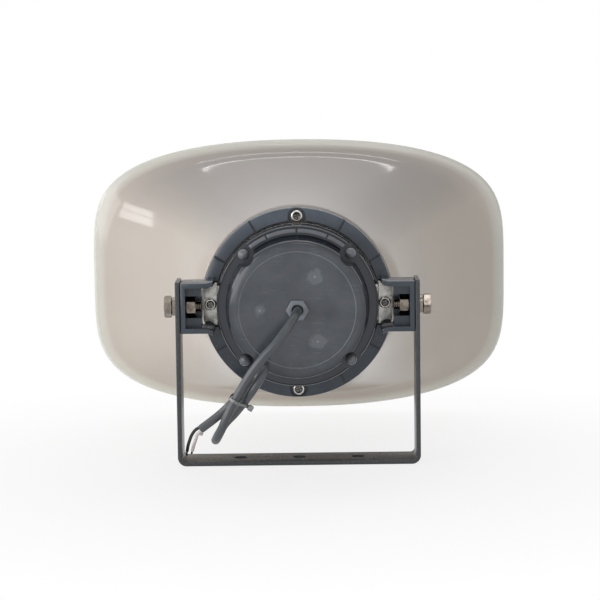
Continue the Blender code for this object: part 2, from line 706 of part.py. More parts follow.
def bell_back():
    return RING_FRONT + GAP


def bell_reach():
    """Where the wall starts inside the flange, and where it meets the lip."""
    return bell_back() + BELL_FLANGE / 2, bell_back() + MOUTH_DEPTH - BELL_LIP_DEPTH


def bell_outside():
    """Sections of the bell's outer surface, from its neck to the rolled lip at its mouth."""
    start, end = bell_reach()
    rows = []
    for i in range(BELL_RINGS + 1):
        share = i / BELL_RINGS
        rows.append((start + (end - start) * share, *bell_section(share)))
    lip_r = BELL_LIP_DEPTH / 2
    for degrees in LIP_TURNS:
        a = math.radians(degrees)
        grow = BELL_LIP - lip_r + lip_r * math.cos(a)
        rows.append((end + lip_r + lip_r * math.sin(a), *bell_section(1.0, grow)))
    return rows


def bell_inside():
    """Sections of the bell's inner surface, from its mouth back to its neck, one wall in from the outer."""
    start, end = bell_reach()
    rows = []
    for i in range(BELL_RINGS, -1, -1):
        share = i / BELL_RINGS
        near, far = max(0, share - SLOPE_STEP), min(1, share + SLOPE_STEP)
        run = (end - start) * (far - near)
        before, after = bell_section(near), bell_section(far)
        half_x, half_z, power_x, power_z = bell_section(share)
        wall_x = BELL_WALL * math.hypot(1, (after[0] - before[0]) / run)
        wall_z = BELL_WALL * math.hypot(1, (after[1] - before[1]) / run)
        rows.append((start + (end - start) * share, half_x - wall_x, half_z - wall_z, power_x, power_z))
    return rows


def bell_shell():
    """The horn's wall as one closed skin: the outside, the lip's front and the inside."""
    bm = bmesh.new()
    front = bell_back() + MOUTH_DEPTH
    rows = bell_outside()
    rows.append((front, *bell_section(1.0, BELL_LIP / 2)))
    rows.append((front - LIP_FACE, *bell_section(1.0, -LIP_FACE)))
    rows += bell_inside()
    loops = []
    for y, half_x, half_z, power_x, power_z in rows:
        points = superellipse(half_x, half_z, power_x, power_z, BELL_SIDES)
        loops.append([bm.verts.new((x, y, z)) for x, z in points])
    skin(bm, loops)
    return bm


def make_bell(pivot):
    back = bell_back()
    bell = make_object("bell", bell_shell(), "bell plastic", pivot)
    flange = turned(washer_outline(BELL_OPENING_R, BELL_FLANGE_R, back, back + BELL_FLANGE), LARGE_SIDES,
                    start=180 / LARGE_SIDES)
    rear = shape(bell, "UNION", flange)
    bosses = [rod(polar(FLANGE_SCREW_RADIUS, a, back + BELL_FLANGE - INSIDE),
                  polar(FLANGE_SCREW_RADIUS, a, back + BELL_BOSS), BELL_BOSS_R, TINY_SIDES)
              for a in FLANGE_SCREW_ANGLES]
    shape(rear, "UNION", *bosses)
    holes = [rod(polar(FLANGE_SCREW_RADIUS, a, back - INSIDE),
                 polar(FLANGE_SCREW_RADIUS, a, back + BELL_BOSS - INSIDE), FLANGE_SCREW_R + GAP, TINY_SIDES)
             for a in FLANGE_SCREW_ANGLES]
    shape(bell, "DIFFERENCE", *holes)


def make_chassis(pivot):
    """Cast plate that closes the driver's front and carries the throat, with an ear at each lug."""
    dish = CHASSIS_PLATE_BACK + CHASSIS_DISH
    outline = [(THROAT_HOLE_R, dish), (CHASSIS_DISH_R, dish),
               (CHASSIS_DISH_R + CHASSIS_DISH_SLOPE, CHASSIS_PLATE_BACK), (PLATE_LAND_R, CHASSIS_PLATE_BACK),
               (PLATE_LAND_R, CHASSIS_LAND_BACK), (RIM_LAND_R, CHASSIS_LAND_BACK),
               (RIM_LAND_R, CHASSIS_RIM_BACK), (DRIVER_R, CHASSIS_RIM_BACK), (DRIVER_R, CHASSIS_FRONT),
               (CHASSIS_BOSS_R, CHASSIS_FRONT), (CHASSIS_BOSS_R, CHASSIS_BOSS_FRONT),
               (THROAT_HOLE_R, CHASSIS_BOSS_FRONT)]
    chassis = make_object("driver_chassis", turned(outline), "cast metal", pivot)
    half = EAR_HEIGHT / 2
    tab = arc((FLANGE_SCREW_RADIUS, 0), EAR_TAB_R, 270, 90)
    tab += [(EAR_REACH, EAR_TAB_R), (EAR_REACH, -EAR_TAB_R)]
    for side in (-1, 1):
        shape(chassis, "UNION", side_box(side, RIM_LAND_R + INSIDE, EAR_REACH, CHASSIS_RIM_BACK,
                                         RING_FRONT - RING_WEB - GAP, -half, half))
        shape(chassis, "UNION", side_box(side, DRIVER_R + GAP, EAR_REACH, EAR_BACK,
                                         CHASSIS_RIM_BACK + INSIDE, -half, half))
        shape(chassis, "UNION", plate([(side * x, z) for x, z in tab], EAR_BACK - EAR_TAB,
                                      EAR_BACK + INSIDE))
    cuts = [rod(polar(FLANGE_SCREW_RADIUS, a, EAR_BACK - EAR_TAB - INSIDE),
                polar(FLANGE_SCREW_RADIUS, a, RING_FRONT), FLANGE_SCREW_R + SCREW_CLEARANCE, TINY_SIDES)
            for a in (0, 180)]
    for a in COVER_BOSS_ANGLES:
        cuts.append(rod(polar(COVER_BOSS_RADIUS, a, CHASSIS_RIM_BACK - INSIDE),
                        polar(COVER_BOSS_RADIUS, a, CHASSIS_FRONT + INSIDE),
                        COVER_SCREW_R + SCREW_CLEARANCE, TINY_SIDES))
        cuts.append(rod(polar(PLATE_SCREW_RADIUS, a, CHASSIS_LAND_BACK - INSIDE),
                        polar(PLATE_SCREW_RADIUS, a, CHASSIS_FRONT - SCREW_FLOOR),
                        PLATE_SCREW_R + GAP, TINY_SIDES))
    for a in TUBE_SCREW_ANGLES:
        cuts.append(rod(polar(TUBE_SCREW_RADIUS, a, CHASSIS_BOSS_FRONT - TUBE_SCREW_DEPTH),
                        polar(TUBE_SCREW_RADIUS, a, CHASSIS_BOSS_FRONT + INSIDE),
                        PLATE_SCREW_R + GAP, TINY_SIDES))
    shape(chassis, "DIFFERENCE", *cuts)
    sinks = [rod(polar(COVER_BOSS_RADIUS, a, CHASSIS_FRONT - SMALL_HEAD - GAP * 2),
                 polar(COVER_BOSS_RADIUS, a, CHASSIS_FRONT + INSIDE), SMALL_HEAD_R + GAP, TINY_SIDES)
             for a in COVER_BOSS_ANGLES]
    shape(chassis, "DIFFERENCE", *sinks)


def washer_outline(inner, outer, back, front):
    return [(inner, back), (outer, back), (outer, front), (inner, front)]


def make_gaskets(pivot):
    seal = washer_outline(BELL_OPENING_R + INSIDE, DRIVER_R - GAP, CHASSIS_FRONT + GAP, bell_back() - GAP)
    make_object("bell_gasket", turned(seal), "rubber", pivot)
    back, front = COVER_SEAT + GAP, CHASSIS_RIM_BACK - GAP
    seal = washer_outline(RIM_LAND_R + INSIDE / 2, DRIVER_R - GAP, back, front)
    gasket = make_object("cover_gasket", turned(seal), "rubber", pivot)
    holes = [rod(polar(COVER_BOSS_RADIUS, a, back - INSIDE), polar(COVER_BOSS_RADIUS, a, front + INSIDE),
                 COVER_SCREW_R + SCREW_CLEARANCE, TINY_SIDES) for a in COVER_BOSS_ANGLES]
    shape(gasket, "DIFFERENCE", *holes)


def cover_profile(inset):
    """Open (radius, y) outline of the cover's outside, or of its hollow when inset by the wall."""
    back, shelf = COVER_BACK + inset, COVER_SHELF + inset
    face, drum, skirt = COVER_FACE_R - inset / 2, COVER_DRUM_R - inset, DRIVER_R - inset
    turn = max(COVER_FILLET - inset, LEAST_FILLET)
    top_r = drum - DRUM_TAPER
    fillet = [(top_r - turn + turn * math.sin(a), back + turn - turn * math.cos(a))
              for a in map(math.radians, FILLET_TURNS)]
    return [(0, back), (min(face, top_r - turn - GAP), back), *fillet,
            (drum - DRUM_LEAN, shelf - DRUM_FOOT), (drum + DRUM_FOOT_SLOPE, shelf),
            (skirt - SHELF_CHAMFER, shelf), (skirt, shelf + SHELF_CHAMFER)]


def cover_domes():
    """Domed ends of the four screw pillars."""
    base, radius = COVER_SHELF - COVER_BOSS, COVER_BOSS_R
    outline = [(0, COVER_SHELF + INSIDE), (radius, COVER_SHELF + INSIDE), (radius, base)]
    outline += [(radius * math.cos(a), base - radius * math.sin(a)) for a in map(math.radians, DOME_TURNS)]
    outline.append((0, base - radius))
    domes = []
    for a in COVER_BOSS_ANGLES:
        dome = turned(outline, BOSS_SIDES)
        bmesh.ops.translate(dome, verts=dome.verts, vec=polar(COVER_BOSS_RADIUS, a))
        domes.append(dome)
    return domes


def make_cover(pivot):
    """Stepped moulded cover with blind screw pillars, a raised rim and a pocket beside each pillar."""
    outline = [*cover_profile(0.0), (DRIVER_R, COVER_SEAT), (0, COVER_SEAT)]
    cover = make_object("rear_cover", turned(outline, COVER_SIDES), "cover plastic", pivot)
    reliefs = [rod(polar(COVER_BOSS_RADIUS, a, COVER_BACK - INSIDE), polar(COVER_BOSS_RADIUS, a, COVER_SHELF),
                   RELIEF_R, BOSS_SIDES) for a in COVER_BOSS_ANGLES]
    shape(cover, "DIFFERENCE", *reliefs)
    rim_r = DRIVER_R - RIM_INSET
    rim = washer_outline(rim_r - RIM_WIDTH, rim_r, COVER_SHELF - RIM_HEIGHT, COVER_SHELF + INSIDE / 2)
    rims = [turned(rim, RIM_STEPS, start, end - start) for start, end in RIM_ARCS]
    shape(cover, "UNION", *cover_domes(), *rims)
    inner = DRIVER_R - COVER_WALL
    hollow = [*cover_profile(COVER_WALL), (inner, COVER_SEAT + INSIDE), (0, COVER_SEAT + INSIDE)]
    cavity = shape(cover, "DIFFERENCE", turned(hollow))
    backing = [rod(polar(COVER_BOSS_RADIUS, a, COVER_BACK),
                   polar(COVER_BOSS_RADIUS, a, COVER_SHELF + COVER_WALL), RELIEF_R + COVER_WALL, BOSS_SIDES)
               for a in COVER_BOSS_ANGLES]
    pillars = [rod(polar(COVER_BOSS_RADIUS, a, COVER_SHELF),
                   polar(COVER_BOSS_RADIUS, a, COVER_SEAT + 2 * INSIDE), COVER_BOSS_R, TINY_SIDES)
               for a in COVER_BOSS_ANGLES]
    shape(cavity, "DIFFERENCE", *backing)
    shape(cavity, "DIFFERENCE", *pillars)
    holes = [rod(polar(COVER_BOSS_RADIUS, a, COVER_SHELF - COVER_BOSS + INSIDE),
                 polar(COVER_BOSS_RADIUS, a, COVER_SEAT + INSIDE), COVER_SCREW_R + GAP, TINY_SIDES)
             for a in COVER_BOSS_ANGLES]
    holes.append(rod((0, COVER_BACK - INSIDE, 0), (0, COVER_BACK + COVER_WALL + INSIDE, 0),
                     GROMMET_NECK_R + GAP))
    shape(cover, "DIFFERENCE", *holes)


def make_grommet(pivot):
    """Plastic grommet: hexagonal outside, with a neck through the cover and a lip behind it."""
    face = COVER_BACK - GAP
    outer = (0, face - GROMMET_HEIGHT, 0)
    head = rod(outer, (0, face, 0), hex_radius(GROMMET_ACROSS), 6, phase=30)
    grommet = make_object("cable_grommet", head, "dark plastic", pivot, smooth=False)
    behind = COVER_BACK + COVER_WALL + GAP
    end = behind + GROMMET_LIP
    neck = turned([(0, face - INSIDE / 2), (GROMMET_NECK_R, face - INSIDE / 2), (GROMMET_NECK_R, behind),
                   (GROMMET_LIP_R, behind), (GROMMET_LIP_R - GROMMET_LEAD, end), (0, end)], SMALL_SIDES)
    shape(grommet, "UNION", neck)
    shape(grommet, "DIFFERENCE", rod((0, face - GROMMET_HEIGHT - INSIDE, 0), (0, end + INSIDE, 0),
                                     CABLE_R + GAP))


def plate_front():
    return CHASSIS_LAND_BACK - GAP


def plate_back():
    return plate_front() - TOP_PLATE


def yoke_front():
    """Front of the yoke's plate, behind the magnet."""
    return plate_back() - GAP - MAGNET - GAP


def strip_back():
    return yoke_front() - YOKE_PLATE - GAP - STRIP


def make_diaphragm(pivot):
    """Diaphragm, the clamp ring on its rim and the coil behind its dome."""
    front = CHASSIS_PLATE_BACK - GAP
    back = front - DIAPHRAGM_WALL
    face = [(COIL_R * share, front - COIL_DROP + DIAPHRAGM_RISE * (1 - share * share))
            for share in DOME_SHARES]
    face += [(COIL_R + SURROUND, front + SURROUND_RISE), (CLAMP_BORE_R, front), (CLAMP_R, front)]
    rear = [(r, y - DIAPHRAGM_WALL) for r, y in reversed(face)]
    make_object("diaphragm", turned(face + rear, FILM_SIDES), "resin film", pivot)
    clamp = washer_outline(CLAMP_BORE_R, CLAMP_R, back - GAP - CLAMP, back - GAP)
    make_object("diaphragm_clamp", turned(clamp), "dark plastic", pivot)
    coil_front = back - COIL_DROP - GAP
    coil = washer_outline(COIL_R - COIL_WALL / 2, COIL_R + COIL_WALL / 2,
                          coil_front - COIL_LENGTH, coil_front)
    make_object("voice_coil", turned(coil), "copper", pivot)


def make_motor(pivot):
    """Top plate, magnet, yoke and terminal strip, stacked behind the diaphragm."""
    back, front = plate_back(), plate_front()
    top = make_object("top_plate", turned(washer_outline(TOP_PLATE_BORE_R, TOP_PLATE_R, back, front)),
                      "zinc", pivot)
    holes = [rod(polar(PLATE_SCREW_RADIUS, a, back - INSIDE), polar(PLATE_SCREW_RADIUS, a, front + INSIDE),
                 PLATE_SCREW_R + GAP, TINY_SIDES) for a in COVER_BOSS_ANGLES]
    shape(top, "DIFFERENCE", *holes)
    near, far = yoke_front() + GAP, back - GAP
    edge = MOTOR_CHAMFER
    make_object("magnet", turned([(MAGNET_BORE_R, near), (MAGNET_R - edge, near), (MAGNET_R, near + edge),
                                  (MAGNET_R, far - edge), (MAGNET_R - edge, far), (MAGNET_BORE_R, far)]),
                "ferrite", pivot)
    rear = yoke_front() - YOKE_PLATE
    make_object("yoke", turned([(0, rear), (YOKE_R - edge, rear), (YOKE_R, rear + edge),
                                (YOKE_R, yoke_front()), (POLE_R, yoke_front()), (POLE_R, front),
                                (0, front)]), "zinc", pivot)
    strip = box((-STRIP_HALF_WIDTH, strip_back(), -STRIP_HALF_HEIGHT),
                (STRIP_HALF_WIDTH, strip_back() + STRIP, STRIP_HALF_HEIGHT))
    make_object("terminal_strip", strip, "resin film", pivot, smooth=False)
    for number, a in enumerate(COVER_BOSS_ANGLES, 1):
        pan_screw(f"plate_screw_{number}", polar(PLATE_SCREW_RADIUS, a), back - GAP - SMALL_HEAD, 1,
                  "zinc", pivot, (SMALL_HEAD_R, SMALL_HEAD, PLATE_SCREW_R, PLATE_SCREW_LENGTH))
        pan_screw(f"cover_screw_{number}", polar(COVER_BOSS_RADIUS, a), CHASSIS_FRONT - GAP, -1,
                  "zinc", pivot, (SMALL_HEAD_R, SMALL_HEAD, COVER_SCREW_R, COVER_SCREW_LENGTH))


def make_phase_plug(pivot):
    """Ring that fills the throat's hole, with a bullet held on three webs."""
    back, front = CHASSIS_PLATE_BACK + CHASSIS_DISH, CHASSIS_BOSS_FRONT
    outer = THROAT_HOLE_R - GAP
    inner = outer - PLUG_RING
    plug = make_object("phase_plug", turned(washer_outline(inner, outer, back, front), FILM_SIDES),
                       "dark plastic", pivot)
    nose = [(r, front + y) for r, y in BULLET_NOSE]
    shape(plug, "UNION", turned([(0, back), (BULLET_R, back), (BULLET_R, front), *nose], SMALL_SIDES))
    for a in PLUG_WEB_ANGLES:
        web = box((BULLET_R - INSIDE, back, -PLUG_WEB_HALF), (inner + INSIDE / 2, front, PLUG_WEB_HALF))
        shape(plug, "UNION", turned_by(web, a))


def make_throat(pivot):
    """Throat tube with the fins that carry the reflector, and the tube's screws."""
    seat = CHASSIS_BOSS_FRONT + GAP
    top = seat + TUBE_FLANGE
    root = TUBE_BORE_R + TUBE_WALL
    mouth = TUBE_MOUTH_R + TUBE_WALL
    outline = [(TUBE_BORE_R, seat), (TUBE_FLANGE_R, seat), (TUBE_FLANGE_R, top), (root + TUBE_FOOT, top),
               (root, top + TUBE_FOOT), (mouth, TUBE_END), (TUBE_MOUTH_R, TUBE_END)]
    tube = make_object("throat_tube", turned(outline), "bell plastic", pivot)
    corners = []
    for y in (FIN_START, FIN_END):
        tube_r = root + (mouth - root) * (y - top) / (TUBE_END - top)
        corners.append(((tube_r - TUBE_WALL / 2, y), (reflector_r(y) - REFLECTOR_WALL - GAP, y)))
    (start_in, start_out), (end_in, end_out) = corners
    for a in FLANGE_SCREW_ANGLES:
        fin = bmesh.new()
        outline = (start_in, start_out, end_out, end_in)
        face = fin.faces.new([fin.verts.new((r, y, -FIN / 2)) for r, y in outline])
        made = bmesh.ops.extrude_face_region(fin, geom=[face])
        moved = [v for v in made["geom"] if isinstance(v, bmesh.types.BMVert)]
        bmesh.ops.translate(fin, verts=moved, vec=(0, 0, FIN))
        shape(tube, "UNION", turned_by(fin, a))
    holes = [rod(polar(TUBE_SCREW_RADIUS, a, seat - INSIDE), polar(TUBE_SCREW_RADIUS, a, top + INSIDE),
                 PLATE_SCREW_R + GAP, TINY_SIDES) for a in TUBE_SCREW_ANGLES]
    shape(tube, "DIFFERENCE", *holes)
    for number, a in enumerate(TUBE_SCREW_ANGLES, 1):
        pan_screw(f"throat_screw_{number}", polar(TUBE_SCREW_RADIUS, a), top + GAP + SMALL_HEAD, -1,
                  "zinc", pivot, (SMALL_HEAD_R, SMALL_HEAD, PLATE_SCREW_R, THROAT_SCREW_LENGTH))


def reflector_r(y):
    """Outside radius of the reflector between its rim and its shoulder."""
    share = (y - REFLECTOR_RIM) / (REFLECTOR_SHOULDER - REFLECTOR_RIM)
    return REFLECTOR_RIM_R + (REFLECTOR_NOSE_R - REFLECTOR_RIM_R) * share


def reflector_nose(radius, depth):
    return [(radius * math.cos(a), REFLECTOR_SHOULDER + depth * math.sin(a))
            for a in map(math.radians, NOSE_TURNS)]


def make_reflector(pivot):
    """Cup that closes over the throat tube: straight taper, then an elliptical nose."""
    wall = REFLECTOR_WALL
    depth = REFLECTOR_FRONT - REFLECTOR_SHOULDER
    outside = [(REFLECTOR_RIM_R, REFLECTOR_RIM), *reflector_nose(REFLECTOR_NOSE_R, depth),
               (0, REFLECTOR_FRONT)]
    inside = [(REFLECTOR_RIM_R - wall, REFLECTOR_RIM), *reflector_nose(REFLECTOR_NOSE_R - wall, depth - wall),
              (0, REFLECTOR_FRONT - wall)]
    make_object("reflector", turned(outside + inside[::-1]), "bell plastic", pivot)


def tie_passes(points, centre, along, across):
    """Where the cable crosses the tie's plane, as distances across it and in depth."""
    passes = []
    for a, b in zip(points, points[1:]):
        side_a, side_b = (a - centre).dot(along), (b - centre).dot(along)
        if side_a * side_b < 0:
            hit = a.lerp(b, side_a / (side_a - side_b)) - centre
            if hit.length < TIE_REACH:
                passes.append(Vector((hit.dot(across), hit.y)))
    return passes


def make_tie(pivot):
    """Nylon band round the three passes of the cable, with its head on the right."""
    centre = Vector(TIE_CENTRE) * MM
    along = Vector(TIE_ALONG).normalized()
    across = Vector((-along.z, 0, along.x))
    passes = tie_passes(smooth_points(CABLE_ROUTE, CABLE_STEP), centre, along, across)
    reach = CABLE_R + GAP * 2
    bm = bmesh.new()
    loops = []
    for offset, level in ((reach, -1), (reach + TIE_THICKNESS, -1), (reach + TIE_THICKNESS, 1), (reach, 1)):
        loop = []
        for i in range(COVER_SIDES):
            angle = 2 * math.pi * i / COVER_SIDES
            direction = Vector((math.cos(angle), math.sin(angle)))
            flat = max(passes, key=direction.dot) + direction * offset
            rise = along * level * TIE_WIDTH / 2
            loop.append(bm.verts.new(centre + across * flat.x + Vector((0, flat.y, 0)) + rise))
        loops.append(loop)
    skin(bm, loops)
    tie = make_object("cable_tie", bm, "tie nylon", pivot)
    right = max(p.x for p in passes)
    depth = sum(p.y for p in passes) / len(passes)
    half = Vector(TIE_HEAD_HALF)
    head = box(-half, half)
    turn = Matrix((across, Vector((0, 1, 0)), along)).transposed().to_4x4()
    place = centre + across * (right + reach + TIE_HEAD_OUT) + Vector((0, depth, 0))
    bmesh.ops.transform(head, matrix=Matrix.Translation(place) @ turn, verts=head.verts)
    shape(tie, "UNION", head)


def make_cable(pivot):
    """Cable, tie, the two cores with their bared tips, and the filler's stub."""
    make_tube("cable", CABLE_ROUTE, CABLE_R, CABLE_STEP, "grey sheath", pivot)
    make_tie(pivot)
    make_tube("core_black", BLACK_ROUTE, CORE_R, CORE_STEP, "black core", pivot)
    make_tube("core_white", WHITE_ROUTE, CORE_R, CORE_STEP, "white core", pivot)
    start, end = (Vector(p) * MM for p in FILLER_ENDS)
    make_object("core_filler", rod(start, end, FILLER_R, TINY_SIDES), "white core", pivot)
    for name, route in (("tip_black", BLACK_ROUTE), ("tip_white", WHITE_ROUTE)):
        before, last = (Vector(p) * MM for p in route[-2:])
        way = (last - before).normalized()
        make_object(name, rod(last + way * GAP, last + way * TIP_LENGTH, TIP_R, TIP_SIDES), "zinc", pivot)


def make_leads(pivot):
    """Leads inside the cover: from the cable to the strip, and from the strip round to the coil."""
    strip = strip_back() / MM
    end_x, end_y, end_z = INNER_LEAD_END
    last_x = (MAGNET_R + COIL_LEAD_OUT) / MM
    bend_x = (MAGNET_R + COIL_LEAD_BEND) / MM
    for side, word, look in ((-1, "left", "black core"), (1, "right", "white core")):
        inner = [(side * x, y, z) for x, y, z in INNER_LEAD_START]
        inner.append((side * end_x, strip + end_y, end_z))
        make_tube(f"inner_lead_{word}", inner, INNER_LEAD_R, INNER_LEAD_STEP, look, pivot)
        coil = [(side * x, strip + y, z) for x, y, z in COIL_LEAD_START]
        coil += [(side * x, strip + y, 0) for x, y in zip((bend_x, last_x), COIL_LEAD_DROPS)]
        coil.append((side * last_x, (plate_back() - GAP) / MM, 0))
        make_tube(f"coil_lead_{word}", coil, COIL_LEAD_R, COIL_LEAD_STEP, "copper", pivot)


def main():
    clear_objects()
    make_bracket()
    pivot = make_empty("tilt_axis", (0, 0, PIVOT_HEIGHT))
    make_ring(pivot)
    make_pivot(-1, "left", pivot, 0)
    make_pivot(1, "right", pivot, RIGHT_HEAD_TURN)
    make_bell(pivot)
    make_chassis(pivot)
    make_gaskets(pivot)
    make_cover(pivot)
    make_grommet(pivot)
    make_flange_screws(pivot)
    make_diaphragm(pivot)
    make_motor(pivot)
    make_phase_plug(pivot)
    make_throat(pivot)
    make_reflector(pivot)
    make_cable(pivot)
    make_leads(pivot)


main()
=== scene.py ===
"""Looks of a horn loudspeaker on its U-bracket: finer pieces and finishes over the fixed model."""

import json
import math

import bmesh
import bpy
from mathutils import Matrix, Vector

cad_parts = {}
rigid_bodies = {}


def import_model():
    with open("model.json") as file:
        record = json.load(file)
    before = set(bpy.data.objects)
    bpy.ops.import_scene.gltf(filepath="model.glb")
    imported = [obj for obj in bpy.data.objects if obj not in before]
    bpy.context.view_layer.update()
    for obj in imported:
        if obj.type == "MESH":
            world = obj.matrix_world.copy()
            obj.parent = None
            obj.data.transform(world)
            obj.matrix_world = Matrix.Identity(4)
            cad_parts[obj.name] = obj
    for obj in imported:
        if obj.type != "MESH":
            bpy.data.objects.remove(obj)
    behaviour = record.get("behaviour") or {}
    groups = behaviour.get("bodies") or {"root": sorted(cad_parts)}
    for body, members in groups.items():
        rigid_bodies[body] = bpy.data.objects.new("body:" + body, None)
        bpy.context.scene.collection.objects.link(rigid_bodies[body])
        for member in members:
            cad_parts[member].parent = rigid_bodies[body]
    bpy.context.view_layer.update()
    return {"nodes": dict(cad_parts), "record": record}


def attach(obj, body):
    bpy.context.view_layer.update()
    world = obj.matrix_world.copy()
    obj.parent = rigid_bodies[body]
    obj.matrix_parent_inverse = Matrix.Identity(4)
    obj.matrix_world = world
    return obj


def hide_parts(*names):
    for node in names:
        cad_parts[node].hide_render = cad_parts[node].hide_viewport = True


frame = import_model()

bl_info = {
    "name": "Horn loudspeaker looks",
    "version": (1, 0, 0),
    "blender": (4, 5, 0),
    "location": "View3D > Sidebar > Horn",
    "description": "Builds the fine pieces, finishes and stage of a horn loudspeaker",
    "category": "Object",
}

MM = 0.001
GAP = 0.3 * MM
LAP = 1.0 * MM  # how far a cut or a joined shape reaches past the face it meets

# Places along the horn's axis, counted from the tilt axis
RING_BACK = 13 * MM
RING_FRONT = 24.7 * MM
BELL_BACK = RING_FRONT + GAP
EAR_BACK = 13.2 * MM
TAB_BACK = EAR_BACK - 1.8 * MM
COVER_SHELF = -6 * MM
COVER_BACK = -28 * MM
COVER_SEAT = 12.7 * MM

# Radii about the horn's axis, and angles in degrees
FACE_EDGE = 38.9 * MM  # the fillet round the cover's flat
SCREW_CIRCLE = 59.4 * MM
COVER_SCREW_CIRCLE = 50.5 * MM
CORNERS = (45, 135, 225, 315)
QUARTERS = (0, 90, 180, 270)

# The cable's way in millimetres from the tilt axis
CABLE_ROUTE = (
    (0, -16, 0), (0, -25, 0), (0, -34, 0), (-1.8, -45, -2.3), (-6.7, -53, -8.7), (-13.4, -56.5, -17.4),
    (-22, -57, -26.5), (-31.5, -56.3, -39), (-40.8, -55, -54.5), (-46.5, -55.4, -65.5),
    (-50.4, -54.2, -74.5), (-53.6, -50.2, -81), (-55, -43.5, -83.8), (-53.2, -36.6, -81),
    (-48.8, -33.4, -74.5), (-42.5, -38.5, -67.3), (-36.3, -47, -58.8), (-30.4, -53, -50.3),
    (-25.5, -52.8, -42.8), (-22.4, -48.2, -37), (-21.4, -42.6, -35), (-23, -36.3, -37.6),
    (-27.6, -33.2, -43.6), (-34, -35.6, -50.5), (-41.8, -39.4, -57.6), (-49.5, -38, -65.4),
    (-57, -33, -72.2), (-64.8, -27, -78.8),
)
BLACK_ROUTE = (
    (-66.1, -27.1, -78), (-69.2, -24.2, -80.3), (-71.8, -21, -84), (-73.6, -17.3, -88.4),
    (-75.1, -13.4, -93.2), (-75.9, -10.2, -97.2),
)
WHITE_ROUTE = (
    (-65, -28, -80.2), (-67.8, -26.2, -82.9), (-69.6, -21.6, -88), (-71.2, -16, -92.8), (-72.2, -12.2, -96.4),
)
CABLE_STEP = 1.8  # between the points of the cable's curve, in millimetres
FILLER_ENDS = ((-64.6, -25.3, -79.8), (-65.6, -24.5, -83.8))


class HornSizes(bpy.types.PropertyGroup):
    """Sizes that set the horn's form, in metres."""

    tilt_height: bpy.props.FloatProperty(name="Tilt axis height", description="From the bracket's underside",
                                         default=0.107, unit="LENGTH")
    bracket_width: bpy.props.FloatProperty(name="Bracket width", description="Across the outside of the arms",
                                           default=0.164, unit="LENGTH")
    bracket_depth: bpy.props.FloatProperty(name="Bracket depth", description="Width of the bent strip",
                                           default=0.030, unit="LENGTH")
    bracket_stock: bpy.props.FloatProperty(name="Bracket stock", description="Thickness of the strip",
                                           default=0.003, unit="LENGTH")
    ring_radius: bpy.props.FloatProperty(name="Ring radius", description="Outside of the mounting ring",
                                         default=0.065, unit="LENGTH")
    mouth_width: bpy.props.FloatProperty(name="Mouth width", description="Across the bell's lip",
                                         default=0.314, unit="LENGTH")
    mouth_height: bpy.props.FloatProperty(name="Mouth height", description="From lip to lip",
                                          default=0.206, unit="LENGTH")
    mouth_depth: bpy.props.FloatProperty(name="Bell depth", description="From the ring to the mouth",
                                         default=0.178, unit="LENGTH")
    bell_wall: bpy.props.FloatProperty(name="Bell wall", description="Thickness of the moulding",
                                       default=0.0028, unit="LENGTH")
    cable_radius: bpy.props.FloatProperty(name="Cable radius", description="Outside of the sheath",
                                          default=0.0029, unit="LENGTH")
    across_flats: bpy.props.FloatProperty(name="Hexagon", description="Across the flats of bolts and nuts",
                                          default=0.013, unit="LENGTH")


class HornColours(bpy.types.PropertyGroup):
    """Colours as sRGB hex values."""

    bell: bpy.props.StringProperty(name="Bell", description="Cream moulding", default="D3C8BE")
    ring: bpy.props.StringProperty(name="Ring", description="Paint on the casting", default="363F4A")
    cover: bpy.props.StringProperty(name="Cover", description="Slate grey moulding", default="363B43")
    bracket: bpy.props.StringProperty(name="Bracket", description="Coating of the bracket", default="3A3D40")
    sheath: bpy.props.StringProperty(name="Sheath", description="Cable's outside", default="515559")
    floor: bpy.props.StringProperty(name="Floor", description="Stage under the horn", default="F4F4F4")


def sizes():
    """The sizes that the panel shows."""
    return bpy.context.scene.horn_sizes


def linear(code):
    """An sRGB hex value as linear red, green, blue and alpha."""
    parts = [int(code[i:i + 2], 16) / 255 for i in (0, 2, 4)]
    return (*[c / 12.92 if c <= 0.04045 else ((c + 0.055) / 1.055) ** 2.4 for c in parts], 1.0)


def fill(tree, node, inputs):
    """Sets a node's inputs, given by name or in order. A socket is linked, a hex value is a colour."""
    for key, value in inputs.items() if isinstance(inputs, dict) else enumerate(inputs):
        if isinstance(value, bpy.types.NodeSocket):
            tree.links.new(value, node.inputs[key])
        else:
            node.inputs[key].default_value = linear(value) if isinstance(value, str) else value


def add_node(tree, kind, inputs=(), output=0, **settings):
    """Adds a node with its settings and inputs, and gives one of its outputs."""
    node = tree.nodes.new(kind)
    for key, value in settings.items():
        setattr(node, key, value)
    fill(tree, node, inputs)
    return node.outputs[output]


def per_metre(size_mm):
    """Scale of a pattern whose features are that many millimetres across."""
    return 1 / (size_mm * MM)


def new_finish(name, colour, roughness, metallic=0.0, clear=0.0):
    """A material with its Principled shader set. Gives the material, its tree, shader and coordinates."""
    material = bpy.data.materials.new(name)
    material.use_nodes = True
    tree = material.node_tree
    shader = tree.nodes["Principled BSDF"]
    fill(tree, shader, {"Base Color": colour, "Roughness": roughness, "Metallic": metallic,
                        "Transmission Weight": clear})
    return material, tree, shader, add_node(tree, "ShaderNodeTexCoord", output="Object")


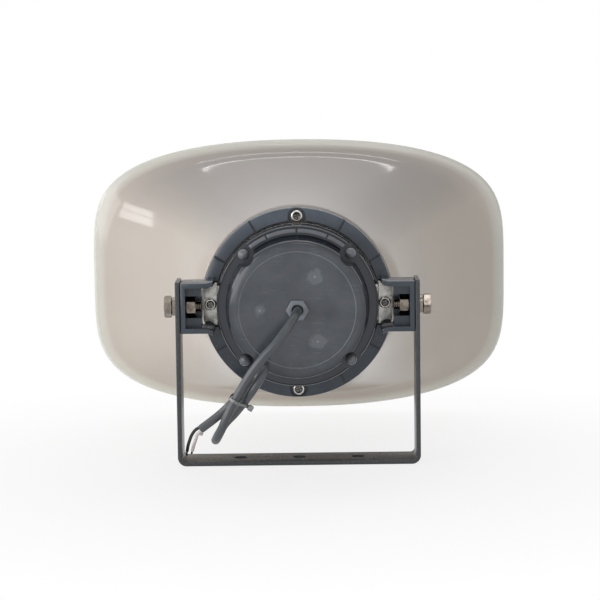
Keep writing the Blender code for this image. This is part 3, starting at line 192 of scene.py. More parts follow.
def moulded_abs_cream(colour, mouth_depth):
    """Polished mould: a deep gloss with wavering reflections and a faint cloudiness.
    Its lip is painted paler as a highlight, and a grey tint on what faces up stands for a dusting and painted
    shade."""
    material, tree, shader, place = new_finish("Moulded ABS, cream gloss", colour, 0.1)
    cloud = add_node(tree, "ShaderNodeTexNoise", {"Vector": place, "Scale": per_metre(60), "Detail": 3})
    cloud = add_node(tree, "ShaderNodeMapRange", (cloud, 0.35, 0.7))
    pale = add_node(tree, "ShaderNodeMix", {0: cloud, 6: colour, 7: "D6CDC2"}, 2, data_type="RGBA")
    # Grey tint on upward faces: partly a dusting, partly painted shade that darkens the bell's top.
    upward = add_node(tree, "ShaderNodeSeparateXYZ", (place.node.outputs["Normal"],), "Z")
    dust_and_top_shade = add_node(tree, "ShaderNodeMapRange", (upward, 0.3, 0.85, 0.0, 0.58))
    dust_and_painted_light = add_node(tree, "ShaderNodeMix", {0: dust_and_top_shade, 6: pale, 7: "989293"}, 2, data_type="RGBA")
    # Paler lip: a painted highlight where light from above falls on the curl.
    depth = add_node(tree, "ShaderNodeSeparateXYZ", (place,), "Y")
    front = BELL_BACK + mouth_depth
    lip = add_node(tree, "ShaderNodeMapRange", (depth, front - 9.5 * MM, front - 5.5 * MM))
    whole = add_node(tree, "ShaderNodeMix", {0: lip, 6: dust_and_painted_light, 7: "ECEBE1"}, 2, data_type="RGBA")
    waver = add_node(tree, "ShaderNodeTexNoise", {"Vector": place, "Scale": per_metre(26), "Detail": 1})
    bump = add_node(tree, "ShaderNodeBump", {"Height": waver, "Distance": 0.25 * MM, "Strength": 0.25})
    fill(tree, shader, {"Base Color": whole, "Normal": bump})
    return material


def enamelled_casting(colour):
    """Paint over cast aluminium: satin, over the casting's soft grain, with a thin bluish tint at the top,
    partly a dusting and partly a painted sheen.
    """
    material, tree, shader, place = new_finish("Enamelled aluminium casting, blue grey", colour, 0.22)
    tone = add_node(tree, "ShaderNodeTexNoise", {"Vector": place, "Scale": per_metre(14), "Detail": 3})
    tone = add_node(tree, "ShaderNodeMapRange", (tone, 0.35, 0.7))
    shade = add_node(tree, "ShaderNodeMix", {0: tone, 6: colour, 7: "3E4853"}, 2, data_type="RGBA")
    # Bluish tint at the top: partly a dusting, partly a painted sheen on the ring's upper part.
    height = add_node(tree, "ShaderNodeSeparateXYZ", (place,), "Z")
    dust_and_sheen_band = add_node(tree, "ShaderNodeMapRange", (height, 145 * MM, 172 * MM, 0.0, 0.3))
    uneven = add_node(tree, "ShaderNodeTexNoise", {"Vector": place, "Scale": per_metre(9), "Detail": 3})
    uneven = add_node(tree, "ShaderNodeMapRange", (uneven, 0.3, 0.6, 0.6, 1.0))
    dust_and_sheen = add_node(tree, "ShaderNodeMath", (dust_and_sheen_band, uneven), operation="MULTIPLY")
    dust_and_painted_light = add_node(tree, "ShaderNodeMix", {0: dust_and_sheen, 6: shade, 7: "8894A3"}, 2, data_type="RGBA")
    grain = add_node(tree, "ShaderNodeTexNoise", {"Vector": place, "Scale": per_metre(1.4), "Detail": 3})
    satin = add_node(tree, "ShaderNodeMapRange", (grain, 0.3, 0.7, 0.16, 0.28))
    bump = add_node(tree, "ShaderNodeBump", {"Height": grain, "Distance": 0.04 * MM, "Strength": 0.2})
    fill(tree, shader, {"Base Color": dust_and_painted_light, "Roughness": satin, "Normal": bump})
    return material


def gate_marks(tree, place, tilt_height):
    """Soft whitened halos on the cover's flat, each round a small point, where the mould was filled."""
    circle = 25 * MM
    ragged = add_node(tree, "ShaderNodeTexNoise", {"Vector": place, "Scale": per_metre(5), "Detail": 3,
                                                   "Roughness": 0.6})
    marks = []
    for degrees, radius in ((62, 7.0), (180, 5.0), (-58, 7.0)):
        angle = math.radians(degrees)
        centre = (circle * math.cos(angle), COVER_BACK, tilt_height + circle * math.sin(angle))
        away = add_node(tree, "ShaderNodeVectorMath", (place, centre), "Value", operation="DISTANCE")
        uneven = add_node(tree, "ShaderNodeMath", (ragged, 9 * MM, away), operation="MULTIPLY_ADD")
        halo = add_node(tree, "ShaderNodeMapRange",
                        (uneven, (radius + 5.4) * MM, (radius + 1.5) * MM, 0.0, 0.34))
        point = add_node(tree, "ShaderNodeMapRange", (away, 1.3 * MM, 0.5 * MM, 0.0, 0.7))
        marks.append(add_node(tree, "ShaderNodeMath", (halo, point), operation="MAXIMUM"))
    whitest = marks[0]
    for mark in marks[1:]:
        whitest = add_node(tree, "ShaderNodeMath", (whitest, mark), operation="MAXIMUM")
    return whitest


def flat_veil(tree, place, tilt_height):
    """Thin grey veil on the cover's flat: level scuffs in patches, a cloudy base and a painted highlight
    along its edge.
    """
    level = add_node(tree, "ShaderNodeMapping", {"Vector": place, "Scale": (1.0, 1.0, 14.0)})
    scuff = add_node(tree, "ShaderNodeTexNoise", {"Vector": level, "Scale": per_metre(12), "Detail": 5,
                                                  "Roughness": 0.8})
    scuff = add_node(tree, "ShaderNodeMapRange", (scuff, 0.58, 0.74, 0.0, 0.5))
    patch = add_node(tree, "ShaderNodeTexNoise", {"Vector": place, "Scale": per_metre(22), "Detail": 1})
    patch = add_node(tree, "ShaderNodeMapRange", (patch, 0.46, 0.6))
    cloudy = add_node(tree, "ShaderNodeTexNoise", {"Vector": place, "Scale": per_metre(18), "Detail": 3})
    cloudy = add_node(tree, "ShaderNodeMapRange", (cloudy, 0.35, 0.7, 0.08, 0.18))
    veil = add_node(tree, "ShaderNodeMath", (scuff, patch, cloudy), operation="MULTIPLY_ADD")
    across = add_node(tree, "ShaderNodeVectorMath", (place, (0, COVER_BACK, tilt_height)), "Value",
                      operation="DISTANCE")
    # Pale line round the flat's edge: a painted highlight.
    on_edge = add_node(tree, "ShaderNodeMath", (across, FACE_EDGE, 0.35 * MM), operation="COMPARE")
    edge_highlight = add_node(tree, "ShaderNodeMath", (on_edge, 0.3), operation="MULTIPLY")
    return add_node(tree, "ShaderNodeMath", (veil, edge_highlight), operation="ADD")


def moulded_abs_slate(colour, tilt_height):
    """Glossy grey moulding. Its flat rear is paler, with soft whitened gate marks and fine level
    scuffs, and its domes and rim pieces are lightened as painted highlights."""
    material, tree, shader, place = new_finish("Moulded ABS, slate gloss", colour, 0.12)
    depth = add_node(tree, "ShaderNodeSeparateXYZ", (place,), "Y")
    rear = add_node(tree, "ShaderNodeMapRange", (depth, COVER_BACK + 1.6 * MM, COVER_BACK + 0.5 * MM))
    worn = add_node(tree, "ShaderNodeMath", (gate_marks(tree, place, tilt_height),
                                             flat_veil(tree, place, tilt_height)), operation="MAXIMUM")
    worn = add_node(tree, "ShaderNodeMath", (worn, rear), operation="MULTIPLY")
    centred = add_node(tree, "ShaderNodeVectorMath", (place, (0, 0, tilt_height)), operation="SUBTRACT")
    folded = add_node(tree, "ShaderNodeVectorMath", (centred,), operation="ABSOLUTE")
    # Domes and raised rim pieces are lightened: painted highlights that stand for their glints.
    dome = polar(COVER_SCREW_CIRCLE, CORNERS[0], 5 * MM - COVER_SHELF)
    to_dome = add_node(tree, "ShaderNodeVectorMath", (folded, dome), "Value", operation="DISTANCE")
    dome_highlight = add_node(tree, "ShaderNodeMapRange", (to_dome, 4.4 * MM, 3.9 * MM, 0.0, 0.3))
    flat = add_node(tree, "ShaderNodeVectorMath", (centred, (1, 0, 1)), operation="MULTIPLY")
    out = add_node(tree, "ShaderNodeVectorMath", (flat,), "Value", operation="LENGTH")
    outside = add_node(tree, "ShaderNodeMapRange", (out, 49.4 * MM, 50.2 * MM, 0.0, 0.4))
    raised = add_node(tree, "ShaderNodeMapRange", (depth, COVER_SHELF - 1.4 * MM, COVER_SHELF - 2.4 * MM))
    rim_highlight = add_node(tree, "ShaderNodeMath", (outside, raised), operation="MULTIPLY")
    # Painted highlights on the domes and rim join the gate marks and scuffs here.
    for painted_glint in (dome_highlight, rim_highlight):
        worn = add_node(tree, "ShaderNodeMath", (worn, painted_glint), operation="MAXIMUM")
    whitened = add_node(tree, "ShaderNodeMix", {0: worn, 6: colour, 7: "A3A7AD"}, 2, data_type="RGBA")
    dulled = add_node(tree, "ShaderNodeMath", (worn, rear), operation="MULTIPLY")
    dulled = add_node(tree, "ShaderNodeMapRange", (dulled, 0.0, 0.6, 0.12, 0.38))
    waver = add_node(tree, "ShaderNodeTexNoise", {"Vector": place, "Scale": per_metre(15), "Detail": 1})
    bump = add_node(tree, "ShaderNodeBump", {"Height": waver, "Distance": 0.2 * MM, "Strength": 0.25})
    fill(tree, shader, {"Base Color": whitened, "Roughness": dulled, "Normal": bump})
    return material


def die_cast_aluminium():
    """Bare casting: dull silver skin with darker freckles."""
    silver = "EFEDE7"
    material, tree, shader, place = new_finish("Die-cast aluminium, bare", silver, 0.5, 1.0)
    skin = add_node(tree, "ShaderNodeTexNoise", {"Vector": place, "Scale": per_metre(3), "Detail": 4,
                                                 "Roughness": 0.6})
    freckle = add_node(tree, "ShaderNodeMapRange", (skin, 0.5, 0.8))
    freckled = add_node(tree, "ShaderNodeMix", {0: freckle, 6: silver, 7: "C6C2BA"}, 2, data_type="RGBA")
    dull = add_node(tree, "ShaderNodeMapRange", (skin, 0.3, 0.7, 0.45, 0.6))
    bump = add_node(tree, "ShaderNodeBump", {"Height": skin, "Distance": 0.05 * MM, "Strength": 0.3})
    fill(tree, shader, {"Base Color": freckled, "Roughness": dull, "Normal": bump})
    return material


def powder_coat(colour):
    """Powder coat on steel strip: dark grey, orange peel, with tiny bright flecks."""
    material, tree, shader, place = new_finish("Powder-coated steel, dark grey", colour, 0.3)
    fleck = add_node(tree, "ShaderNodeTexNoise", {"Vector": place, "Scale": per_metre(0.8), "Detail": 1})
    fleck = add_node(tree, "ShaderNodeMapRange", (fleck, 0.64, 0.74, 0.0, 0.5))
    flecked = add_node(tree, "ShaderNodeMix", {0: fleck, 6: colour, 7: "7C8086"}, 2, data_type="RGBA")
    peel = add_node(tree, "ShaderNodeTexNoise", {"Vector": place, "Scale": per_metre(1), "Detail": 2})
    satin = add_node(tree, "ShaderNodeMapRange", (peel, 0.3, 0.7, 0.22, 0.4))
    bump = add_node(tree, "ShaderNodeBump", {"Height": peel, "Distance": 0.1 * MM, "Strength": 0.5})
    fill(tree, shader, {"Base Color": flecked, "Roughness": satin, "Normal": bump})
    return material


def plated_steel(name, colour, worn, roughness):
    """Plated fastener steel: a bright metal, dulled in patches, and darkened in its recess as painted shade.
    """
    material, tree, shader, place = new_finish(name, colour, roughness, 1.0)
    patch = add_node(tree, "ShaderNodeTexNoise", {"Vector": place, "Scale": per_metre(4), "Detail": 3})
    dull = add_node(tree, "ShaderNodeMapRange", (patch, 0.45, 0.75))
    plating = add_node(tree, "ShaderNodeMix", {0: dull, 6: colour, 7: worn}, 2, data_type="RGBA")
    # Painted shade: darkest in the screws' cross recess.
    recess_shade_level = add_node(tree, "ShaderNodeAttribute", output="Fac", attribute_name="recess_shade_level")
    recess_shade = add_node(tree, "ShaderNodeMapRange", (recess_shade_level, 0.0, 1.0, 0.0, 0.92))
    recess_shaded = add_node(tree, "ShaderNodeMix", {0: recess_shade, 6: plating, 7: "241F1C"}, 2, data_type="RGBA")
    uneven = add_node(tree, "ShaderNodeMapRange", (patch, 0.3, 0.7, roughness * 0.8, roughness * 1.3))
    fill(tree, shader, {"Base Color": recess_shaded, "Roughness": uneven})
    return material


def grained(name, colour, roughness, grain_mm=0.8, depth_mm=0.03, strength=0.4, detail=2, clear=0.0):
    """One colour with a slight grain: rubber, vinyl, moulded nylon and dull sintered ferrite."""
    material, tree, shader, place = new_finish(name, colour, roughness, clear=clear)
    grain = add_node(tree, "ShaderNodeTexNoise", {"Vector": place, "Scale": per_metre(grain_mm),
                                                  "Detail": detail})
    bump = add_node(tree, "ShaderNodeBump", {"Height": grain, "Distance": depth_mm * MM,
                                             "Strength": strength})
    fill(tree, shader, {"Normal": bump})
    return material


FINISHES = {}


def finish(slot):
    """The material of a record slot, made once."""
    colours = bpy.context.scene.horn_colours
    makers = {
        "bell_plastic": lambda: moulded_abs_cream(colours.bell, sizes().mouth_depth),
        "ring_paint": lambda: enamelled_casting(colours.ring),
        "cover_plastic": lambda: moulded_abs_slate(colours.cover, sizes().tilt_height),
        "cast_metal": die_cast_aluminium,
        "bracket_paint": lambda: powder_coat(colours.bracket),
        "steel": lambda: plated_steel("Nickel-plated steel", "8A8279", "5A514A", 0.2),
        "zinc": lambda: plated_steel("Zinc-plated steel", "C9C7C3", "A5A29D", 0.2),
        "ferrite": lambda: grained("Sintered ferrite", "2B2B2D", 0.65, 0.6, 0.05, 0.6, 3),
        "rubber": lambda: grained("Nitrile rubber, black", "1C1C1C", 0.7),
        "dark_plastic": lambda: grained("Moulded nylon, grey", "7C828A", 0.28),
        "grey_sheath": lambda: grained("Vinyl cable sheath, grey", colours.sheath, 0.28, 1.2),
        "black_core": lambda: grained("Vinyl core insulation, black", "17171A", 0.35),
        "white_core": lambda: grained("Vinyl core insulation, white", "E6DCDA", 0.38),
        "tie_nylon": lambda: grained("Natural nylon", "ABAEAE", 0.25, clear=0.5),
        "copper": lambda: plated_steel("Enamelled copper wire", "B8734E", "8E5336", 0.35),
        "resin_film": lambda: grained("Phenolic cloth, brown", "7A5636", 0.5, 0.5),
    }
    if slot not in FINISHES:
        FINISHES[slot] = makers[slot]()
    return FINISHES[slot]


def polar(radius, degrees, y=0.0):
    """A point at a distance and angle from the horn's axis."""
    angle = math.radians(degrees)
    return Vector((radius * math.cos(angle), y, radius * math.sin(angle)))


def spun(profile, steps, start=0.0, sweep=360.0):
    """Spins a closed outline of (radius, y) points about the horn's axis."""
    bm = bmesh.new()
    first = Matrix.Rotation(-math.radians(start), 3, "Y")
    verts = [bm.verts.new(first @ Vector((r, y, 0))) for r, y in profile]
    edges = [bm.edges.new((a, b)) for a, b in zip(verts, verts[1:] + verts[:1])]
    full = sweep == 360.0
    bmesh.ops.spin(bm, geom=verts + edges, cent=(0, 0, 0), axis=(0, -1, 0), angle=math.radians(sweep),
                   steps=steps, use_merge=full)
    if not full:
        bmesh.ops.holes_fill(bm, edges=[e for e in bm.edges if e.is_boundary])
    bmesh.ops.remove_doubles(bm, verts=bm.verts, dist=0.005 * MM)
    bmesh.ops.delete(bm, geom=[e for e in bm.edges if e.is_wire], context="EDGES")
    return bm


def bar(start, end, radius, sides=32, end_radius=None, phase=0.0):
    """A round or many-sided bar between two points."""
    start, end = Vector(start), Vector(end)
    turn = (end - start).to_track_quat("Z", "Y").to_matrix().to_4x4()
    place = Matrix.Translation((start + end) / 2) @ turn @ Matrix.Rotation(math.radians(phase), 4, "Z")
    bm = bmesh.new()
    bmesh.ops.create_cone(bm, cap_ends=True, segments=sides, radius1=radius,
                          radius2=radius if end_radius is None else end_radius,
                          depth=(end - start).length, matrix=place)
    return bm


def block(low, high, edge=0.0):
    """A box between two corners, its edges rounded by that much."""
    small = Vector(map(min, low, high))
    size = Vector(map(abs, Vector(high) - Vector(low)))
    bm = bmesh.new()
    place = Matrix.Translation(small + size / 2) @ Matrix.Diagonal((*size, 1))
    bmesh.ops.create_cube(bm, size=1, matrix=place)
    return rounded(bm, edge)


def slab(outline, back, front, edge=0.0):
    """A flat outline of (x, z) points made solid between two places along Y."""
    bm = bmesh.new()
    face = bm.faces.new([bm.verts.new((x, back, z)) for x, z in outline])
    raised = bmesh.ops.extrude_face_region(bm, geom=[face])
    bmesh.ops.translate(bm, verts=[v for v in raised["geom"] if isinstance(v, bmesh.types.BMVert)],
                        vec=(0, front - back, 0))
    return rounded(bm, edge)


def rounded(bm, edge, limit=30, segments=2):
    """Rounds the edges that turn by more than the limit in degrees."""
    if edge:
        bmesh.ops.recalc_face_normals(bm, faces=bm.faces)
        sharp = [e for e in bm.edges if e.is_manifold and e.calc_face_angle(0) > math.radians(limit)]
        bmesh.ops.bevel(bm, geom=sharp, offset=edge, offset_type="OFFSET", segments=segments, profile=0.5,
                        affect="EDGES", clamp_overlap=True, material=-1)
    return bm


def arc(centre, radius, start, end, steps):
    """Points of an arc between two angles in degrees."""
    angles = [math.radians(start + (end - start) * i / steps) for i in range(steps + 1)]
    return [(centre[0] + radius * math.cos(a), centre[1] + radius * math.sin(a)) for a in angles]


def turned_by(bm, degrees):
    """The same shape turned about the horn's axis."""
    turn = Matrix.Rotation(-math.radians(degrees), 3, "Y")
    bmesh.ops.rotate(bm, verts=bm.verts, cent=(0, 0, 0), matrix=turn)
    return bm


def moved(bm, offset):
    """The same shape moved."""
    bmesh.ops.translate(bm, verts=bm.verts, vec=offset)
    return bm


def along_x(bm, start, direction):
    """The same shape laid along X from a place, with its axis turned from Y to that direction."""
    bmesh.ops.transform(bm, verts=bm.verts, matrix=Matrix.Translation((start, 0, 0))
                        @ Matrix.Rotation(-direction * math.pi / 2, 4, "Z"))
    return bm


def bars_round(circle, angles, back, front, radius, sides=32):
    """Equal bars along the horn's axis, set on a circle about it at some angles."""
    return [bar(polar(circle, a, back), polar(circle, a, front), radius, sides) for a in angles]


def lofted(count, rows, place):
    """Extrudes a circle's edges through the rows and closes the last row on the first.
    place gives a point for a row and an angle."""
    bm = bmesh.new()
    loop = bmesh.ops.create_circle(bm, segments=count, radius=1)["verts"]
    angles = {v: math.atan2(v.co.y, v.co.x) for v in loop}
    edges = first = list(bm.edges)
    for index, row in enumerate(rows):
        if index:
            raised = bmesh.ops.extrude_edge_only(bm, edges=edges)["geom"]
            fresh = [v for v in raised if isinstance(v, bmesh.types.BMVert)]
            ends = set(fresh)
            edges = [e for e in raised if isinstance(e, bmesh.types.BMEdge) and ends.issuperset(e.verts)]
            before = {v.co.copy().freeze(): angle for v, angle in angles.items()}
            angles = {v: before[v.co.copy().freeze()] for v in fresh}
        for v, angle in angles.items():
            v.co = place(row, angle)
    bmesh.ops.bridge_loops(bm, edges=first + edges)
    return bm


def as_object(bm, name="shape"):
    """The shape as a linked object, its faces pointing outwards."""
    bmesh.ops.recalc_face_normals(bm, faces=bm.faces)
    mesh = bpy.data.meshes.new(name)
    bm.to_mesh(mesh)
    bm.free()
    obj = bpy.data.objects.new(name, mesh)
    bpy.context.scene.collection.objects.link(obj)
    return obj


def gathered(pieces):
    """One bmesh that holds every piece as a body of its own."""
    whole = bmesh.new()
    for piece in pieces:
        bmesh.ops.recalc_face_normals(piece, faces=piece.faces)
        part = bpy.data.meshes.new("part")
        piece.to_mesh(part)
        piece.free()
        whole.from_mesh(part)
        bpy.data.meshes.remove(part)
    return whole


def combined(bm, operation, *pieces):
    """The shape joined with, or cut by, the pieces."""
    base = as_object(bm)
    tool = as_object(gathered(pieces))
    boolean = base.modifiers.new("combine", "BOOLEAN")
    boolean.operation = operation
    boolean.solver = "EXACT"
    boolean.object = tool
    bpy.context.view_layer.update()
    made = bmesh.new()
    made.from_object(base, bpy.context.evaluated_depsgraph_get())
    for obj in (base, tool):
        mesh = obj.data
        bpy.data.objects.remove(obj)
        bpy.data.meshes.remove(mesh)
    if not made.faces:
        raise RuntimeError("a Boolean came out empty")
    return made


def placed(name, data, slot, body="horn"):
    """An object with its finish and its body. It takes the place of the node of its name in lower case."""
    data.materials.append(finish(slot))
    obj = bpy.data.objects.new(name, data)
    bpy.context.scene.collection.objects.link(obj)
    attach(obj, body)
    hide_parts(name.lower())
    return obj


def show(name, bm, slot, angle=32, body="horn"):
    """Shows a finished shape. What rides with the horn is drawn about the tilt axis and lifted to it."""
    bmesh.ops.recalc_face_normals(bm, faces=bm.faces)
    if body == "horn":
        moved(bm, (0, 0, sizes().tilt_height))
    mesh = bpy.data.meshes.new(name)
    bm.to_mesh(mesh)
    bm.free()
    mesh.shade_smooth()
    mesh.set_sharp_from_angle(angle=math.radians(angle))
    return placed(name, mesh, slot, body)


def smooth_points(route, step, height):
    """Evenly spaced points on one smooth curve through a route given in millimetres."""
    knots = [Vector(p) * MM + Vector((0, 0, height)) for p in route]
    knots = [2 * knots[0] - knots[1], *knots, 2 * knots[-1] - knots[-2]]
    dense = []
    for a, b, c, d in zip(knots, knots[1:], knots[2:], knots[3:]):
        for i in range(24):
            t = i / 24
            dense.append(0.5 * (2 * b + (c - a) * t + (2 * a - 5 * b + 4 * c - d) * t * t
                                + (3 * b - a - 3 * c + d) * t ** 3))
    dense.append(knots[-2])
    lengths = [0.0]
    for a, b in zip(dense, dense[1:]):
        lengths.append(lengths[-1] + (b - a).length)
    count = max(2, round(lengths[-1] / step))
    points, k = [], 0
    for i in range(count + 1):
        goal = lengths[-1] * i / count
        while k < len(lengths) - 2 and lengths[k + 1] < goal:
            k += 1
        points.append(dense[k].lerp(dense[k + 1], (goal - lengths[k]) / (lengths[k + 1] - lengths[k])))
    return points, lengths[-1]


def show_tube(name, route, radius, slot, step=CABLE_STEP):
    """A round cord along a route, as a curve with a round bevel. Gives the object and its length."""
    points, length = smooth_points(route, step * MM, sizes().tilt_height)
    curve = bpy.data.curves.new(name, "CURVE")
    curve.dimensions = "3D"
    curve.bevel_depth = radius
    curve.bevel_resolution = 5
    curve.use_fill_caps = True
    spline = curve.splines.new("POLY")
    spline.points.add(len(points) - 1)
    for target, point in zip(spline.points, points):
        target.co = (*point, 1)
    return placed(name, curve, slot), length


def grow(share, rate):
    """Exponential growth from 0 to 1, as a horn flares."""
    return (math.exp(rate * share) - 1) / (math.exp(rate) - 1)


BELL_NECK = 55.5 * MM
BELL_FLANGE_R = 66.3 * MM
BELL_FLANGE = 4 * MM
BELL_OPENING = 40 * MM
BELL_LIP = 8 * MM
BELL_LIP_DEPTH = 6 * MM
LIP_SWEEP = 0.92  # share of the bell's depth where its outside starts to curl into the lip


def bell_section(share, offset=0.0):
    """Half width, half height and corner powers of the bell's outside at a share of its depth."""
    s = sizes()
    wide = BELL_NECK + (s.mouth_width / 2 - BELL_LIP - BELL_NECK) * grow(share, 2.1) + offset
    high = BELL_NECK + (s.mouth_height / 2 - BELL_LIP - BELL_NECK) * grow(share, 1.5) + offset
    blend = share ** 0.8
    return wide, high, 2 + 0.22 * blend, 2 + 2.33 * blend


def on_section(row, angle):
    """Point of a row's section, a curve between an ellipse and a rectangle, at an angle in its own scale."""
    y, (wide, high, power_x, power_z) = row
    c, s = math.cos(angle), math.sin(angle)
    low, top = 0.5, 1.5
    for _ in range(34):
        reach = (low + top) / 2
        if abs(reach * c) ** power_x + abs(reach * s) ** power_z < 1:
            low = reach
        else:
            top = reach
    return wide * low * c, y, high * low * s


def bell_rows():
    """Sections along the bell: outside, round the lip and back along the inside, as (y, section)."""
    s = sizes()
    start = BELL_BACK + BELL_FLANGE / 2
    end = BELL_BACK + s.mouth_depth - BELL_LIP_DEPTH
    shares = [i / 40 for i in range(36)] + [0.89 + 0.01 * i for i in range(12)]  # closer at the mouth
    lip = BELL_LIP_DEPTH / 2
    rows = []
    for share in shares:
        sweep = (BELL_LIP - lip) * max(0.0, (share - LIP_SWEEP) / (1 - LIP_SWEEP)) ** 2.4
        rows.append((start + (end - start) * share, bell_section(share, sweep)))
    for degrees in (-82, -70, -50, -30, -10, 10, 30, 50, 70, 88):
        a = math.radians(degrees)
        rows.append((end + lip + lip * math.sin(a), bell_section(1.0, BELL_LIP - lip + lip * math.cos(a))))
    front = end + BELL_LIP_DEPTH
    rows.append((front, bell_section(1.0, BELL_LIP / 2 - 1 * MM)))
    for back, offset in ((0.1, 1.2), (0.7, -0.4), (2.0, -1.8), (4.0, -3.0)):
        rows.append((front - back * MM, bell_section(1.0, offset * MM)))
    run = end - start
    for share in reversed(shares):
        near, far = bell_section(max(0, share - 0.01)), bell_section(min(1, share + 0.01))
        span = run * (min(1, share + 0.01) - max(0, share - 0.01))
        section = bell_section(share)
        walls = [s.bell_wall * math.hypot(1, (far[k] - near[k]) / span) for k in (0, 1)]
        rows.append((start + run * share, (section[0] - walls[0], section[1] - walls[1], *section[2:])))
    return rows


class OBJECT_OT_horn_bell(bpy.types.Operator):
    """Builds the flared bell with its rolled lip, rear flange and screw bosses"""

    bl_idname = "object.horn_bell"
    bl_label = "Bell"
    bl_options = {"REGISTER", "UNDO"}

    def execute(self, context):
        horn = lofted(160, bell_rows(), on_section)
        edge, front = BELL_FLANGE_R, BELL_BACK + BELL_FLANGE
        rear = spun([(BELL_OPENING, BELL_BACK), (edge - 0.4 * MM, BELL_BACK), (edge, BELL_BACK + 0.4 * MM),
                     (edge, front - 0.8 * MM), (edge - 0.8 * MM, front), (BELL_OPENING, front)], 128)
        bosses = bars_round(SCREW_CIRCLE, QUARTERS, BELL_BACK + 2.8 * MM, BELL_BACK + 11 * MM, 4.6 * MM)
        bell = combined(horn, "UNION", combined(rear, "UNION", *bosses))
        holes = bars_round(SCREW_CIRCLE, QUARTERS, BELL_BACK - LAP, BELL_BACK + 10 * MM, 2.3 * MM, 24)
        show("Bell", combined(bell, "DIFFERENCE", *holes), "bell_plastic", 40)
        return {"FINISHED"}


def lug_outer():
    """How far the lugs reach, just short of the bracket's arms."""
    s = sizes()
    return s.bracket_width / 2 - s.bracket_stock - GAP


LUG_HALF = 17 * MM
LUG_WALL = 3.4 * MM
LUG_BACK = -14 * MM
LUG_FLOOR = -5 * MM
LUG_FLARE = 1.3 * MM
LUG_BEND = 61 * MM  # where a lug's flare begins, from the middle
LUG_INNER = 56.5 * MM
LUG_BLOCK = 64.9 * MM
RECESS_R = 6.2 * MM
RECESS_DEPTH = 1.6 * MM
RING_BORE = 55.8 * MM
RING_WEB = 5.7 * MM
BOLT_HOLE = 4.25 * MM
GROOVE_HALF = 0.8 * MM
GROOVE_DEPTH = 2.8 * MM
GROOVES = (30, 60, 120, 150, 210, 240, 300, 330)
# Dark channel round the top and bottom screws, a little nearer to the middle than the screws are
CHANNEL = (4.5 * MM, 5.9 * MM)
CHANNEL_CIRCLE = SCREW_CIRCLE - 0.5 * MM


class OBJECT_OT_horn_ring(bpy.types.Operator):
    """Builds the cast mounting ring with its grooves, screw recesses and hollow lugs"""

    bl_idname = "object.horn_ring"
    bl_label = "Mounting ring"
    bl_options = {"REGISTER", "UNDO"}

    def execute(self, context):
        outer = sizes().ring_radius
        soft = 0.6 * MM
        ring = spun([(RING_BORE, RING_BACK + soft), (RING_BORE + soft, RING_BACK),
                     (outer - 1.6 * soft, RING_BACK), (outer - 0.5 * soft, RING_BACK + 0.5 * soft),
                     (outer, RING_BACK + 1.6 * soft), (outer, RING_FRONT), (RING_BORE, RING_FRONT)], 160)
        gate = LUG_HALF - LAP
        web_back = RING_FRONT - RING_WEB
        gates = [block((side * RING_BORE / 2, RING_BACK - LAP, -gate), (side * outer * 1.2, web_back, gate))
                 for side in (-1, 1)]
        ring = combined(ring, "DIFFERENCE", *gates)
        hollow = LUG_HALF - LUG_WALL
        far = lug_outer()
        half_outline = [(LUG_BLOCK, hollow), (LUG_BEND, hollow), (LUG_INNER, hollow + LUG_FLARE),
                        (LUG_INNER, LUG_HALF + LUG_FLARE), (LUG_BEND, LUG_HALF), (far, LUG_HALF)]
        outline = half_outline + [(x, -z) for x, z in reversed(half_outline)]
        for side in (-1, 1):
            lug = slab([(side * x, z) for x, z in outline], LUG_BACK, RING_BACK, 0.7 * MM)
            ring = combined(ring, "UNION", lug)
            for low, high in ((hollow, LUG_HALF - LAP / 2), (LAP / 2 - LUG_HALF, -hollow)):
                cheek = block((side * LUG_INNER, RING_BACK - 2 * LAP, low),
                              (side * 62 * MM, web_back + LAP, high))
                ring = combined(ring, "UNION", cheek)
        wall = far - LUG_WALL
        inner = LUG_BLOCK - LAP
        hollows = ((LUG_BACK - LAP, LUG_FLOOR, hollow), (LUG_FLOOR - LAP, 8.2 * MM, 7.4 * MM))
        for side in (-1, 1):
            for back, front, half in hollows:
                ring = combined(ring, "DIFFERENCE", block((side * inner, back, -half),
                                                          (side * wall, front, half)))
        cuts = [bar((side * (wall - LAP / 2), 0, 0), (side * (far + LAP), 0, 0), BOLT_HOLE)
                for side in (-1, 1)]
        cuts += bars_round(SCREW_CIRCLE, QUARTERS, RING_BACK - 3 * LAP, RING_FRONT + LAP, 2.35 * MM)
        ring = combined(ring, "DIFFERENCE", *cuts)
        recess = arc((0, SCREW_CIRCLE), RECESS_R, 0, 180, 24)
        recess += [(-RECESS_R, RING_BORE / 2), (RECESS_R, RING_BORE / 2)]
        recesses = [slab([(x, z * sign) for x, z in recess], RING_BACK - LAP, RING_BACK + RECESS_DEPTH)
                    for sign in (-1, 1)]
        ring = combined(ring, "DIFFERENCE", *recesses)
        (near, wide), floor = CHANNEL, RING_BACK + 5 * MM
        channel = [(near, RING_BACK), (wide, RING_BACK), (wide, floor), (near, floor)]
        channels = [moved(spun(channel, 48), polar(CHANNEL_CIRCLE, a)) for a in (90, 270)]
        ring = combined(ring, "DIFFERENCE", *channels)
        grooves = [turned_by(block((RING_BORE - LAP, RING_BACK - LAP, -GROOVE_HALF),
                                   (outer + LAP, RING_BACK + GROOVE_DEPTH, GROOVE_HALF)), a) for a in GROOVES]
        ring = combined(ring, "DIFFERENCE", *grooves)
        show("Mounting_ring", ring, "ring_paint", 28)
        return {"FINISHED"}


